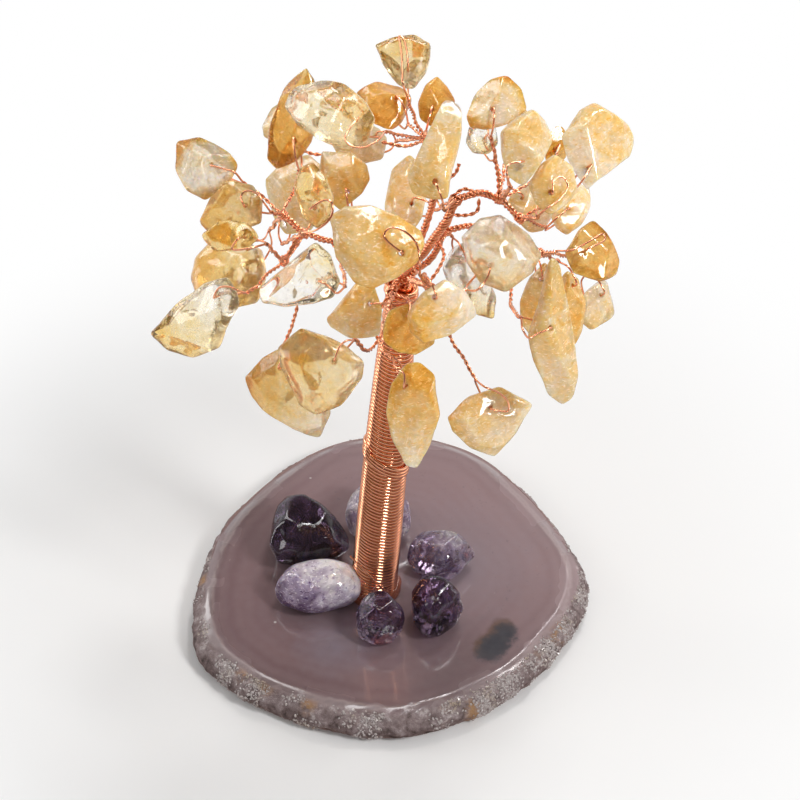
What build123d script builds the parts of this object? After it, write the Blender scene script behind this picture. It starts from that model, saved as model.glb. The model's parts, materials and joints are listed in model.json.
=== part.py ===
from build123d import *
from math import cos, inf, pi, radians, sin, sqrt, tan
import os

os.makedirs("parts", exist_ok=True)

# A little tree of copper wire and citrine chips on a polished agate slice.
# The origin is the middle of the slice's underside, +Z is up, and the front faces -Y.
# Lengths are in millimetres.

# The view that the named pixels were read in: they are turned into places by sight lines.
view_distance = 400.0
view_focal_pixels = 2120.0
view_elevation = 42.0
view_centre_pixel = (400.0, 400.0)
foot_pixel = (373.5, 588.0)

# Agate slice
slice_thickness = 6.0
slice_flare = 4.0
slice_foot_flare = 2.6
slice_belly_height = 2.4
slice_centre_right_of_foot = 3.0
slice_centre_behind_foot = 6.8
face_outline_pixels = (
    (209, 604), (216, 642), (262, 676), (330, 700), (400, 707), (452, 694), (512, 664),
    (562, 606), (570, 568), (532, 513), (474, 457), (410, 438), (338, 445), (283, 479), (232, 528),
)

# Trunk core and its windings
core_foot_diameter = 7.0
core_taper_power = 2.2
core_level_shares = (0.0, 0.2, 0.4, 0.6, 0.8, 1.0)
core_top_diameter = 3.3
trunk_top_pixel = (402.0, 283.0)
trunk_top_back = 4.0
binding_wire = 0.8
winding_pitch = 1.26
winding_clearance = 0.06
lower_winding_start = 2.6
lower_winding_loops = 23
upper_winding_loops = 23
top_binding_loops = 5
winding_break = 1.3
arcs_per_turn = 2
winding_samples_per_turn = 48

# Clear glue round the foot
glue_diameter = 10.6
glue_height = 1.6
glue_lip = 0.5
glue_clearance = 0.05

# Amethysts round the foot: how the plan outline narrows at shares of a stone's own height
amethyst_height = 10.0
amethyst_middle_share = 0.42
stone_height_shares = (0.0, 0.22, 0.5, 0.8, 1.0)
stone_spread_shares = (0.7, 0.93, 1.0, 0.84, 0.45)

# Citrine chips and the thin wires that carry them
crown_depth = 30.0
chip_thickness = 5.2
chip_bore = 1.0
chip_wire = 0.32
twist_diameter = 0.62
twist_knot_radius = 0.42
limb_diameter = 1.1
main_limb_diameter = 1.5
knot_radius = 1.15
loop_stand_off = 0.8
loop_bend = 0.55
twig_bend = 5.0
knot_touch = 0.02
limb_ring_gap = 0.08
limb_start_run = 1.6

# Shares of a chip's own outline at shares of its own thickness
chip_height_shares = (-0.5, -0.33, 0.0, 0.33, 0.5)
chip_spread_shares = (0.62, 0.88, 1.0, 0.88, 0.62)
corner_share = 0.45
loop_shoulder_share = 0.74
loop_leg_spread_share = 0.72
loop_shoulder_height_share = 0.38

# Where a line of sight starts and how it runs
sight_ahead = Vector(0, cos(radians(view_elevation)), -sin(radians(view_elevation)))
sight_up = Vector(0, sin(radians(view_elevation)), cos(radians(view_elevation)))
sight_right = Vector(1, 0, 0)
trunk_foot = Vector(-slice_centre_right_of_foot, -slice_centre_behind_foot, slice_thickness)


def sight_line(pixel):
    """The direction in which the eye sees a pixel."""
    across = (pixel[0] - view_centre_pixel[0]) / view_focal_pixels
    above = (view_centre_pixel[1] - pixel[1]) / view_focal_pixels
    return sight_ahead + sight_right * across + sight_up * above


eye = trunk_foot - sight_line(foot_pixel) * view_distance


def seen_on(pixel, point, normal):
    """The point of a plane that a pixel shows."""
    line = sight_line(pixel)
    reach = (point - eye).dot(normal) / line.dot(normal)
    return eye + line * reach


def seen_at_height(pixel, height):
    """The point that a pixel shows at a height over the slice's underside."""
    return seen_on(pixel, Vector(0, 0, height), Vector(0, 0, 1))


def seen_behind_foot(pixel, back):
    """The point that a pixel shows at a distance behind the trunk's foot."""
    return seen_on(pixel, trunk_foot + Vector(0, back, 0), Vector(0, 1, 0))


trunk_top = seen_behind_foot(trunk_top_pixel, trunk_top_back)
trunk_axis = (trunk_top - trunk_foot).normalized()
trunk_length = (trunk_top - trunk_foot).length
trunk_plane = Plane(origin=trunk_foot, x_dir=Vector(0, 1, 0).cross(trunk_axis), z_dir=trunk_axis)


def corner_radii(points, largest=inf, closed=False):
    """Arcs as large as the runs beside each corner allow, up to the largest."""
    count = len(points)
    corners = range(count) if closed else range(1, count - 1)
    radii = []
    for index in corners:
        before = points[index] - points[index - 1]
        after = points[(index + 1) % count] - points[index]
        turn = radians(before.get_angle(after))
        shorter = min(before.length, after.length)
        radii.append(min(largest, corner_share * shorter / tan(turn / 2)))
    return radii


def save(part, name):
    """Label a finished piece and write it."""
    part.label = name
    export_step(part, f"parts/{name}.step")
    print(name, "solids", len(part.solids()), "volume", round(part.volume, 3))


# Amethysts glued round the foot of the trunk: the plan outline and the share of their height
amethysts = {
    "amethyst_back_left": (
        ((269, 546), (271, 520), (283, 499), (303, 500), (322, 511), (340, 526), (350, 543), (331, 555),
         (300, 561), (276, 555)), 1.1),
    "amethyst_behind_trunk": (
        ((345, 524), (350, 502), (368, 486), (392, 489), (411, 508), (411, 526), (390, 533), (358, 534)), 1.0),
    "amethyst_back_right": (
        ((407, 553), (417, 540), (432, 534), (456, 540), (475, 552), (463, 563), (447, 574), (426, 571),
         (410, 563)), 0.85),
    "amethyst_front_right": (
        ((411, 594), (422, 580), (443, 585), (464, 601), (457, 616), (440, 627), (425, 629), (413, 618)), 1.0),
    "amethyst_front": (
        ((356, 610), (372, 598), (392, 599), (403, 611), (405, 622), (396, 634), (376, 637), (357, 630)), 0.9),
    "amethyst_front_left": (
        ((278, 588), (290, 574), (318, 569), (346, 572), (353, 583), (354, 593), (336, 603), (306, 607),
         (284, 600)), 0.85),
}

# Where the twisted wires part: the pixel and the share of the crown's depth behind the foot
knots = {
    "left_inner": ((337, 243), -0.03),
    "left_middle": ((303, 233), -0.07),
    "left_outer": ((282, 214), -0.07),
    "left_lower": ((283, 262), -0.1),
    "crown_middle": ((436, 168), 0.13),
    "crown_top": ((426, 138), 0.1),
    "right_inner": ((456, 199), -0.03),
    "right_middle": ((500, 199), -0.03),
    "right_outer": ((521, 219), -0.03),
    "east_inner": ((447, 230), 0.13),
    "east_outer": ((541, 254), 0.0),
    "front_right": ((431, 288), -0.27),
    "front_left": ((392, 291), 0.0),
}

limbs = {
    "left_limb": {
        "diameter": limb_diameter, "ring_angle": 162,
        "branches": (
            {"from": "trunk", "route": (((372, 266), 0.06),), "to": "left_inner"},
            {"from": "left_inner", "route": (), "to": "left_middle"},
            {"from": "left_middle", "route": (), "to": "left_outer"},
            {"from": "left_middle", "route": (), "to": "left_lower"},
        ),
    },
    "upper_limb": {
        "diameter": limb_diameter, "ring_angle": 90,
        "branches": (
            {"from": "trunk", "route": (((413, 258), 0.15), ((430, 212), 0.16)), "to": "crown_middle"},
            {"from": "crown_middle", "route": (), "to": "crown_top"},
        ),
    },
    "right_limb": {
        "diameter": main_limb_diameter, "ring_angle": None,
        "branches": (
            {"from": "trunk", "route": (((420, 256), 0.02), ((445, 222), -0.03)), "to": "right_inner"},
            {"from": "right_inner", "route": (((478, 193), -0.03),), "to": "right_middle"},
            {"from": "right_middle", "route": (), "to": "right_outer"},
        ),
    },
    "far_right_limb": {
        "diameter": limb_diameter, "ring_angle": 18,
        "branches": (
            {"from": "trunk", "route": (((430, 258), 0.12),), "to": "east_inner"},
            {"from": "east_inner", "route": (((480, 226), 0.17), ((520, 238), 0.12)), "to": "east_outer"},
        ),
    },
    "front_limb": {
        "diameter": limb_diameter, "ring_angle": -54,
        "branches": (
            {"from": "trunk", "route": (((416, 282), -0.1),), "to": "front_right"},
        ),
    },
    "lower_limb": {
        "diameter": limb_diameter, "ring_angle": -126,
        "branches": (
            {"from": "trunk", "route": (), "to": "front_left"},
        ),
    },
}


def chip_row(outline_pixels, hole_pixel, twist_pixel, back_share, facing, thick_share, knot, route=()):
    """One chip: its outline, bore and twist in pixels, its place in depth, facing and thickness."""
    return {
        "outline_pixels": outline_pixels, "hole_pixel": hole_pixel, "twist_pixel": twist_pixel,
        "back_share": back_share, "facing": facing, "thick_share": thick_share,
        "knot": knot, "route": route,
    }


chips = {
    "citrine_far_left": chip_row(
        ((177, 143), (200, 140), (229, 153), (237, 166), (226, 186), (205, 200), (187, 190), (176, 172)),
        (216, 170), (243, 182), 0.07, (-30, 50), 0.9, "left_outer", (((262, 196), 0.0),)),
    "citrine_left_yellow": chip_row(
        ((211, 197), (230, 183), (252, 187), (262, 202), (260, 222), (240, 229), (209, 231), (200, 221)),
        (248, 208), (271, 212), -0.2, (-25, 45), 0.85, "left_outer"),
    "citrine_left_sparkle": chip_row(
        ((202, 238), (220, 225), (246, 226), (258, 238), (243, 250), (215, 252)),
        (244, 238), (266, 244), -0.42, (-30, 35), 0.75, "left_lower"),
    "citrine_left_back": chip_row(
        ((197, 262), (214, 243), (240, 238), (262, 250), (266, 275), (256, 300), (230, 306), (198, 298),
         (192, 280)),
        (252, 254), (269, 231), 0.47, (-60, 60), 1.0, "left_outer"),
    "citrine_lower_left": chip_row(
        ((151, 334), (176, 304), (202, 284), (226, 278), (240, 306), (222, 332), (216, 349), (192, 359),
         (164, 349)),
        (222, 296), (247, 293), -0.4, (-30, 30), 1.0, "left_lower"),
    "citrine_upper_left": chip_row(
        ((303, 70), (317, 84), (318, 110), (313, 138), (296, 157), (276, 167), (266, 157), (270, 128), (283, 90)),
        (297, 143), (299, 170), 0.2, (-20, 60), 0.85, "left_outer", (((294, 190), 0.06),)),
    "citrine_top_clear": chip_row(
        ((284, 104), (300, 88), (320, 82), (347, 87), (367, 103), (376, 121), (369, 138), (350, 149), (328, 142),
         (300, 126)),
        (357, 126), (385, 132), -0.07, (-5, 60), 0.95, "crown_top"),
    "citrine_back_one": chip_row(
        ((262, 122), (272, 106), (290, 103), (302, 118), (298, 138), (278, 143), (264, 135)),
        (288, 128), (302, 150), 0.7, (-20, 78), 0.8, "left_inner", (((345, 165), 0.45),)),
    "citrine_back_two": chip_row(
        ((330, 142), (345, 130), (370, 127), (387, 137), (384, 153), (362, 160), (338, 156)),
        (375, 143), (396, 141), 0.62, (20, 78), 0.8, "crown_top"),
    "citrine_top_amber": chip_row(
        ((356, 94), (375, 86), (400, 87), (412, 99), (403, 115), (388, 127), (368, 120)),
        (395, 106), (408, 124), 0.47, (10, 75), 0.9, "crown_top"),
    "citrine_inner_amber": chip_row(
        ((322, 153), (350, 153), (367, 165), (370, 178), (362, 191), (340, 206), (326, 195), (319, 172)),
        (348, 190), (351, 216), -0.03, (-10, 45), 0.8, "left_inner"),
    "citrine_left_looped": chip_row(
        ((301, 171), (316, 165), (326, 178), (334, 199), (329, 217), (316, 226), (302, 217), (294, 188)),
        (315, 208), (302, 233), -0.47, (-15, 40), 0.75, "left_middle"),
    "citrine_pale_back": chip_row(
        ((266, 180), (285, 160), (310, 155), (328, 170), (329, 203), (310, 228), (284, 232), (267, 212)),
        (286, 222), (282, 244), 0.67, (-30, 52), 0.8, "left_middle"),
    "citrine_front_large": chip_row(
        ((329, 216), (345, 206), (371, 206), (400, 217), (421, 230), (425, 244), (417, 262), (395, 277),
         (372, 287), (353, 280), (335, 255)),
        (401, 252), (420, 275), -0.67, (0, 40), 1.1, "front_right"),
    "citrine_front_clear": chip_row(
        ((316, 242), (329, 254), (340, 280), (334, 296), (315, 302), (285, 306), (263, 302), (258, 288),
         (283, 268), (303, 251)),
        (322, 280), (345, 287), -0.67, (-15, 35), 0.9, "left_inner"),
    "citrine_under_amber": chip_row(
        ((357, 283), (376, 286), (382, 308), (381, 337), (352, 337), (330, 328), (326, 319), (344, 298)),
        (371, 304), (390, 303), -0.3, (-5, 40), 0.8, "front_left"),
    "citrine_under_back": chip_row(
        ((383, 324), (390, 310), (407, 304), (425, 306), (437, 318), (433, 341), (414, 353), (396, 350),
         (384, 339)),
        (407, 316), (408, 299), -0.2, (15, 40), 0.7, "front_left"),
    "citrine_barrel": chip_row(
        ((407, 314), (425, 294), (445, 282), (464, 292), (477, 316), (452, 334), (425, 343), (412, 332)),
        (433, 298), (424, 274), -0.67, (15, 35), 1.0, "front_right"),
    "citrine_hanging_middle": chip_row(
        ((399, 369), (420, 366), (436, 377), (437, 396), (440, 414), (430, 446), (419, 465), (405, 463),
         (391, 438), (386, 410), (390, 385)),
        (406, 384), (393, 358), -0.67, (-5, 20), 0.8, "front_left", (((381, 345), -0.28), ((376, 322), -0.14))),
    "citrine_hanging_right": chip_row(
        ((448, 418), (470, 399), (500, 388), (532, 404), (516, 432), (494, 456), (470, 447), (452, 432)),
        (488, 405), (476, 380), -0.53, (15, 20), 0.9, "front_right",
        (((466, 362), -0.38), ((450, 334), -0.34), ((446, 306), -0.3))),
    "citrine_lower_front": chip_row(
        ((278, 350), (300, 330), (326, 338), (347, 348), (364, 360), (362, 377), (342, 402), (318, 411),
         (299, 402), (281, 368)),
        (338, 357), (354, 340), -0.73, (-15, 25), 0.95, "front_left", (((372, 347), -0.2), ((388, 322), -0.06))),
    "citrine_lower_back": chip_row(
        ((245, 379), (262, 358), (282, 348), (302, 362), (325, 390), (331, 412), (318, 437), (296, 429),
         (270, 411), (250, 398)),
        (284, 366), (287, 338), -0.38, (-20, 25), 0.85, "left_lower", (((297, 302), -0.22),)),
    "citrine_crown": chip_row(
        ((375, 48), (394, 43), (415, 38), (431, 48), (430, 60), (424, 76), (415, 88), (398, 79), (383, 64)),
        (408, 72), (408, 98), 0.07, (0, 60), 0.9, "crown_top", (((414, 118), 0.02),)),
    "citrine_small_dark": chip_row(
        ((436, 79), (447, 88), (455, 101), (447, 117), (431, 124), (419, 117), (418, 102), (424, 87)),
        (431, 112), (426, 131), 0.4, (15, 65), 0.7, "crown_top"),
    "citrine_front_club": chip_row(
        ((443, 106), (452, 102), (463, 113), (462, 136), (452, 174), (447, 199), (430, 199), (412, 194),
         (406, 180), (424, 145)),
        (434, 186), (444, 210), -0.27, (5, 50), 0.8, "right_inner"),
    "citrine_behind_club": chip_row(
        ((392, 170), (409, 158), (423, 165), (427, 190), (424, 214), (409, 234), (392, 229), (384, 205)),
        (412, 206), (434, 210), 0.5, (0, 70), 0.8, "right_inner"),
    "citrine_top_right": chip_row(
        ((466, 116), (472, 96), (490, 81), (506, 77), (520, 90), (527, 108), (511, 122), (488, 128), (471, 125)),
        (491, 112), (491, 136), 0.12, (15, 55), 0.8, "right_middle", (((497, 166), -0.02),)),
    "citrine_clear_back": chip_row(
        ((468, 128), (482, 124), (496, 130), (498, 143), (489, 152), (474, 150), (466, 140)),
        (484, 140), (494, 160), 0.33, (20, 60), 0.7, "right_middle", (((500, 178), 0.1),)),
    "citrine_right_upper": chip_row(
        ((501, 131), (515, 117), (532, 110), (546, 121), (552, 138), (538, 165), (525, 181), (511, 173),
         (503, 152)),
        (518, 163), (511, 187), -0.27, (25, 45), 0.85, "right_middle"),
    "citrine_small_back": chip_row(
        ((504, 112), (515, 104), (527, 106), (531, 117), (521, 126), (507, 123)),
        (514, 116), (506, 134), 0.6, (30, 75), 0.7, "right_middle", (((505, 170), 0.2),)),
    "citrine_small_amber": chip_row(
        ((546, 139), (556, 132), (567, 139), (566, 152), (556, 161), (547, 153)),
        (554, 150), (549, 169), 0.47, (50, 60), 0.7, "right_middle", (((535, 180), 0.17),)),
    "citrine_right_slab": chip_row(
        ((562, 136), (580, 109), (592, 103), (607, 112), (625, 125), (634, 138), (627, 155), (608, 169),
         (587, 187), (572, 171)),
        (585, 169), (571, 193), 0.27, (35, 50), 0.9, "right_outer"),
    "citrine_right_front": chip_row(
        ((529, 184), (540, 165), (555, 156), (572, 168), (577, 190), (566, 206), (550, 214), (537, 205)),
        (548, 193), (538, 216), -0.33, (20, 40), 0.8, "right_outer"),
    "citrine_right_behind": chip_row(
        ((552, 216), (560, 197), (577, 186), (589, 193), (588, 212), (580, 227), (569, 235), (557, 228)),
        (564, 215), (547, 227), 0.33, (60, 60), 0.75, "right_outer"),
    "citrine_pale_middle": chip_row(
        ((508, 202), (518, 188), (538, 185), (553, 197), (554, 214), (544, 229), (525, 231), (512, 220)),
        (520, 203), (505, 191), 0.47, (30, 60), 0.75, "right_middle"),
    "citrine_round_front": chip_row(
        ((462, 240), (480, 222), (500, 219), (529, 237), (542, 257), (532, 275), (505, 293), (481, 284),
         (466, 264)),
        (487, 268), (466, 290), -0.4, (15, 40), 1.0, "front_right", (((452, 290), -0.4),)),
    "citrine_grey_behind": chip_row(
        ((446, 246), (462, 247), (480, 268), (497, 298), (495, 318), (478, 316), (455, 298), (442, 274)),
        (463, 262), (453, 238), 0.0, (20, 40), 0.75, "east_inner"),
    "citrine_prism": chip_row(
        ((549, 259), (560, 262), (572, 320), (578, 374), (572, 396), (561, 402), (548, 395), (533, 360),
         (529, 335), (538, 296)),
        (545, 325), (521, 318), -0.6, (25, 25), 0.85, "east_outer", (((510, 300), -0.27), ((518, 272), -0.06))),
    "citrine_prism_left": chip_row(
        ((520, 300), (530, 277), (544, 263), (556, 274), (552, 300), (545, 324), (531, 332), (520, 320)),
        (540, 279), (536, 255), 0.17, (10, 35), 0.75, "east_outer"),
    "citrine_prism_right": chip_row(
        ((563, 271), (577, 279), (583, 305), (581, 331), (573, 346), (562, 335), (558, 300)),
        (568, 287), (559, 262), 0.27, (45, 35), 0.75, "east_outer"),
    "citrine_speckled": chip_row(
        ((602, 279), (612, 299), (611, 316), (593, 329), (583, 318), (586, 294)),
        (596, 297), (586, 274), 0.5, (50, 40), 0.75, "east_outer", (((568, 258), 0.28),)),
    "citrine_right_amber": chip_row(
        ((566, 248), (580, 229), (592, 222), (604, 232), (619, 257), (617, 271), (600, 276), (574, 268)),
        (582, 252), (556, 251), -0.03, (35, 45), 0.85, "east_outer"),
}


def make_slice():
    """The agate slice: a polished flat face over a rough rim that flares out below it."""
    face_points = [seen_at_height(pixel, slice_thickness) for pixel in face_outline_pixels]
    levels = ((0.0, slice_foot_flare), (slice_belly_height, slice_flare), (slice_thickness, 0.0))
    with BuildPart() as agate_slice:
        for height, flare in levels:
            flat = [Vector(point.X, point.Y) for point in face_points]
            outline = [point + point.normalized() * flare for point in flat]
            radii = corner_radii(outline, closed=True)
            with BuildSketch(Plane.XY.offset(height)):
                with BuildLine():
                    FilletPolyline(*outline, radius=radii, close=True)
                make_face()
        loft()
    save(agate_slice.part, "agate_slice")


def make_amethyst(name, outline_pixels, height_share):
    """A tumbled stone that lies on the polished face."""
    height = amethyst_height * height_share
    middle_height = slice_thickness + height * amethyst_middle_share
    outline = [seen_at_height(pixel, middle_height) for pixel in outline_pixels]
    middle = sum(outline, Vector(0, 0, 0)) * (1 / len(outline))
    with BuildPart() as stone:
        for level_share, spread in zip(stone_height_shares, stone_spread_shares):
            level = slice_thickness + height * level_share
            flat = [Vector(point.X - middle.X, point.Y - middle.Y) * spread for point in outline]
            radii = corner_radii(flat, closed=True)
            with BuildSketch(Plane(origin=(middle.X, middle.Y, level))):
                with BuildLine():
                    FilletPolyline(*flat, radius=radii, close=True)
                make_face()
        loft()
    save(stone.part, name)


def core_radius(along):
    """The trunk core's radius at a length along its axis."""
    share = max(along, 0) / trunk_length
    return (core_foot_diameter - (core_foot_diameter - core_top_diameter) * share**core_taper_power) / 2


def make_trunk_core():
    """The bundle of wire ends under the windings, cut level with the slice's face."""
    with BuildPart() as trunk_core:
        for share in core_level_shares:
            with BuildSketch(trunk_plane.offset(trunk_length * share)):
                Circle(core_radius(trunk_length * share))
        loft()
        with BuildSketch(trunk_plane):
            Circle(core_radius(0))
        extrude(amount=-core_foot_diameter)
        split(bisect_by=Plane.XY.offset(slice_thickness), keep=Keep.TOP)
    save(trunk_core.part, "trunk_core")


def turn_point(start, turns):
    """A point on the middle line of a winding, and the way that the wire runs there."""
    along = start + winding_pitch * turns
    radius = core_radius(along) + binding_wire / 2 + winding_clearance
    angle = 2 * pi * turns
    out = trunk_plane.x_dir * cos(angle) + trunk_plane.y_dir * sin(angle)
    across = trunk_plane.y_dir * cos(angle) - trunk_plane.x_dir * sin(angle)
    shrink = core_radius(along + winding_pitch / 2) - core_radius(along - winding_pitch / 2)
    point = trunk_foot + trunk_axis * along + out * radius
    way = across * (2 * pi * radius) + trunk_axis * winding_pitch + out * shrink
    return point, way.normalized()


def biarc_middle(first, first_way, last, last_way):
    """Where the two arcs of a biarc meet, and the way that the line runs there."""
    chord = last - first
    ways = first_way + last_way
    square = 4 - ways.dot(ways)
    reach = (sqrt(chord.dot(ways) ** 2 + square * chord.dot(chord)) - chord.dot(ways)) / square
    before = first + first_way * reach
    after = last - last_way * reach
    return (before + after) * 0.5, (after - before).normalized()


def make_winding(name, start, loops):
    """Thick wire wound round the trunk, with its two ends running straight off the last turns."""
    steps = loops * arcs_per_turn
    with BuildPart() as winding:
        with BuildLine() as route:
            point, way = turn_point(start, 0)
            Line(point - way * binding_wire, point)
            for step in range(1, steps + 1):
                next_point, next_way = turn_point(start, step / arcs_per_turn)
                middle, middle_way = biarc_middle(point, way, next_point, next_way)
                TangentArc(point, middle, tangent=way)
                TangentArc(middle, next_point, tangent=middle_way)
                point, way = next_point, next_way
            Line(point, point + way * binding_wire)
        with BuildSketch(Plane(origin=route.wire() @ 0, z_dir=route.wire() % 0)):
            Circle(binding_wire / 2)
        sweep(path=route.wire())
    save(winding.part, name)
    samples = loops * winding_samples_per_turn
    places = [route.wire() @ (index / samples) for index in range(samples + 1)]
    apart = winding_samples_per_turn // 2
    nearest = min(
        (places[index] - places[later]).length
        for index in range(samples)
        for later in range(index + apart, min(samples, index + 3 * apart) + 1)
    )
    length = route.wire().length
    ideal = pi * (binding_wire / 2) ** 2 * length
    print(name, "least gap to itself", round(nearest - binding_wire, 3), "length", round(length, 1))
    print(name, "volume over section times length", round(winding.part.volume / ideal, 5))


def make_glue():
    """The clear glue that holds the trunk upright, with a bore that clears the trunk core."""
    with BuildPart() as foot_glue:
        with BuildSketch(Plane.XZ.offset(-trunk_foot.Y)) as profile:
            with BuildLine():
                foot = (trunk_foot.X, slice_thickness)
                rim = (foot[0] + glue_diameter / 2, foot[1])
                lip = (rim[0], foot[1] + glue_lip)
                top = (foot[0] + core_foot_diameter / 2 + binding_wire, foot[1] + glue_height)
                centre = (foot[0], foot[1] + glue_height)
                Polyline(centre, foot, rim, lip)
                TangentArc(lip, top, tangent=(0, 1))
                Line(top, centre)
            make_face()
        revolve(axis=Axis(trunk_foot, (0, 0, 1)))
        with BuildSketch(trunk_plane):
            Circle(core_foot_diameter / 2 + glue_clearance)
        extrude(amount=glue_diameter, both=True, mode=Mode.SUBTRACT)
    save(foot_glue.part, "foot_glue")


def chip_plane(chip):
    """The middle plane of a chip: where it lies behind the foot and which way it faces."""
    azimuth, elevation = (radians(angle) for angle in chip["facing"])
    normal = Vector(sin(azimuth) * cos(elevation), -cos(azimuth) * cos(elevation), sin(elevation))
    count = len(chip["outline_pixels"])
    middle_pixel = [sum(pixel[axis] for pixel in chip["outline_pixels"]) / count for axis in range(2)]
    origin = seen_behind_foot(middle_pixel, chip["back_share"] * crown_depth)
    return Plane(origin=origin, x_dir=Vector(0, 0, 1).cross(normal), z_dir=normal)


def chip_point(chip, pixel):
    """The point of a chip's middle plane that a pixel shows."""
    plane = chip_plane(chip)
    return seen_on(pixel, plane.origin, plane.z_dir)


def make_chip(name, chip):
    """A tumbled chip with a bore through its thickness."""
    plane = chip_plane(chip)
    thickness = chip_thickness * chip["thick_share"]
    outline = [plane.to_local_coords(chip_point(chip, pixel)) for pixel in chip["outline_pixels"]]
    with BuildPart() as stone:
        for height_share, spread in zip(chip_height_shares, chip_spread_shares):
            flat = [Vector(point.X, point.Y) * spread for point in outline]
            radii = corner_radii(flat, closed=True)
            with BuildSketch(plane.offset(thickness * height_share)):
                with BuildLine():
                    FilletPolyline(*flat, radius=radii, close=True)
                make_face()
        loft()
        with BuildSketch(Plane(origin=chip_point(chip, chip["hole_pixel"]), z_dir=plane.z_dir)):
            Circle(chip_bore / 2)
        extrude(amount=thickness, both=True, mode=Mode.SUBTRACT)
    save(stone.part, name)


def tube(points, largest_bend, diameter):
    """A round wire along straight runs joined by arcs."""
    with BuildLine(mode=Mode.PRIVATE) as route:
        if len(points) > 2:
            FilletPolyline(*points, radius=corner_radii(points, largest_bend))
        else:
            Line(*points)
    path = route.wire()
    with BuildSketch(Plane(origin=path @ 0, z_dir=path % 0)) as section:
        Circle(diameter / 2)
    sweep(sections=section.sketch, path=path)


def loop_points(chip):
    """The bend of thin wire that goes through a chip's bore and round its edge to the twist."""
    normal = chip_plane(chip).z_dir
    hole = chip_point(chip, chip["hole_pixel"])
    twist = chip_point(chip, chip["twist_pixel"])
    thickness = chip_thickness * chip["thick_share"]
    shoulder = hole + (twist - hole) * loop_shoulder_share
    rise = normal * (thickness / 2 + loop_stand_off)
    shoulder_rise = normal * (thickness * loop_shoulder_height_share + loop_stand_off)
    beside = normal * (chip_wire * loop_leg_spread_share)
    return [
        twist + beside, shoulder + shoulder_rise, hole + rise,
        hole - rise, shoulder - shoulder_rise, twist - beside,
    ]


def knot_place(name):
    """The middle of the lump where twisted wires part."""
    pixel, back_share = knots[name]
    return seen_behind_foot(pixel, back_share * crown_depth)


def via_places(route):
    """The points of a route between its two ends."""
    return [seen_behind_foot(pixel, back_share * crown_depth) for pixel, back_share in route]


def make_limb(name, limb):
    """A limb of twisted wires from the trunk's top to its knots, with the twigs and loops it carries."""
    start = trunk_top
    if limb["ring_angle"] is not None:
        angle = radians(limb["ring_angle"])
        out = trunk_plane.x_dir * cos(angle) + trunk_plane.y_dir * sin(angle)
        start = trunk_top + out * ((main_limb_diameter + limb_diameter) / 2 + limb_ring_gap)
    solids = []
    for branch in limb["branches"]:
        points = []
        if branch["from"] == "trunk":
            points = [start, start + trunk_axis * limb_start_run]
        else:
            points = [knot_place(branch["from"])]
        points += via_places(branch["route"]) + [knot_place(branch["to"])]
        if branch["from"] != "trunk":
            points[0] += (points[1] - points[0]).normalized() * (knot_radius - knot_touch)
        points[-1] += (points[-2] - points[-1]).normalized() * (knot_radius - knot_touch)
        with BuildPart() as limb_run:
            tube(points, twig_bend, limb["diameter"])
        solids += limb_run.part.solids()
        with BuildPart(Plane(knot_place(branch["to"]))) as knot:
            Sphere(knot_radius)
        solids += knot.part.solids()
    for chip_name, chip in chips.items():
        if chip["knot"] not in [branch["to"] for branch in limb["branches"]]:
            continue
        twist = chip_point(chip, chip["twist_pixel"])
        points = [twist] + via_places(chip["route"]) + [knot_place(chip["knot"])]
        points[-1] += (points[-2] - points[-1]).normalized() * (knot_radius - knot_touch)
        with BuildPart() as twig:
            tube(points, twig_bend, twist_diameter)
            tube(loop_points(chip), loop_bend, chip_wire)
            with Locations(Plane(origin=twist, z_dir=chip_plane(chip).z_dir)):
                Sphere(twist_knot_radius)
        if len(twig.part.solids()) != 1:
            print("the twig of", chip_name, "came out in pieces")
        solids += twig.part.solids()
    save(Compound(children=solids), name)


def main():
    """Make every piece and write it."""
    make_slice()
    make_glue()
    make_trunk_core()
    lower_length = winding_pitch * lower_winding_loops
    upper_start = lower_winding_start + lower_length + winding_break
    top_start = upper_start + winding_pitch * upper_winding_loops + winding_break
    make_winding("lower_winding", lower_winding_start, lower_winding_loops)
    make_winding("upper_winding", upper_start, upper_winding_loops)
    make_winding("top_binding", top_start, top_binding_loops)
    print("windings end at", top_start + winding_pitch * top_binding_loops, "of", trunk_length)
    for name, (outline_pixels, height_share) in amethysts.items():
        make_amethyst(name, outline_pixels, height_share)
    for name, chip in chips.items():
        make_chip(name, chip)
    for name, limb in limbs.items():
        make_limb(name, limb)
    for name, chip in chips.items():
        hole = chip_point(chip, chip["hole_pixel"])
        normal = chip_plane(chip).z_dir
        print("hinge", name, *(round(value, 4) for value in (*hole, *normal)))


if __name__ == "__main__":
    main()
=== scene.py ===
# A gemstone tree: copper wire, citrine chips and amethysts on an agate slice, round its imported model.
# Blender works in metres. The origin is the middle of the slice's underside, and the front faces -Y.
import json
import math
import random

import bmesh
import bpy
import numpy as np
from bpy.props import FloatProperty, FloatVectorProperty, IntProperty, PointerProperty
from mathutils import Matrix, Vector, noise


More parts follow.
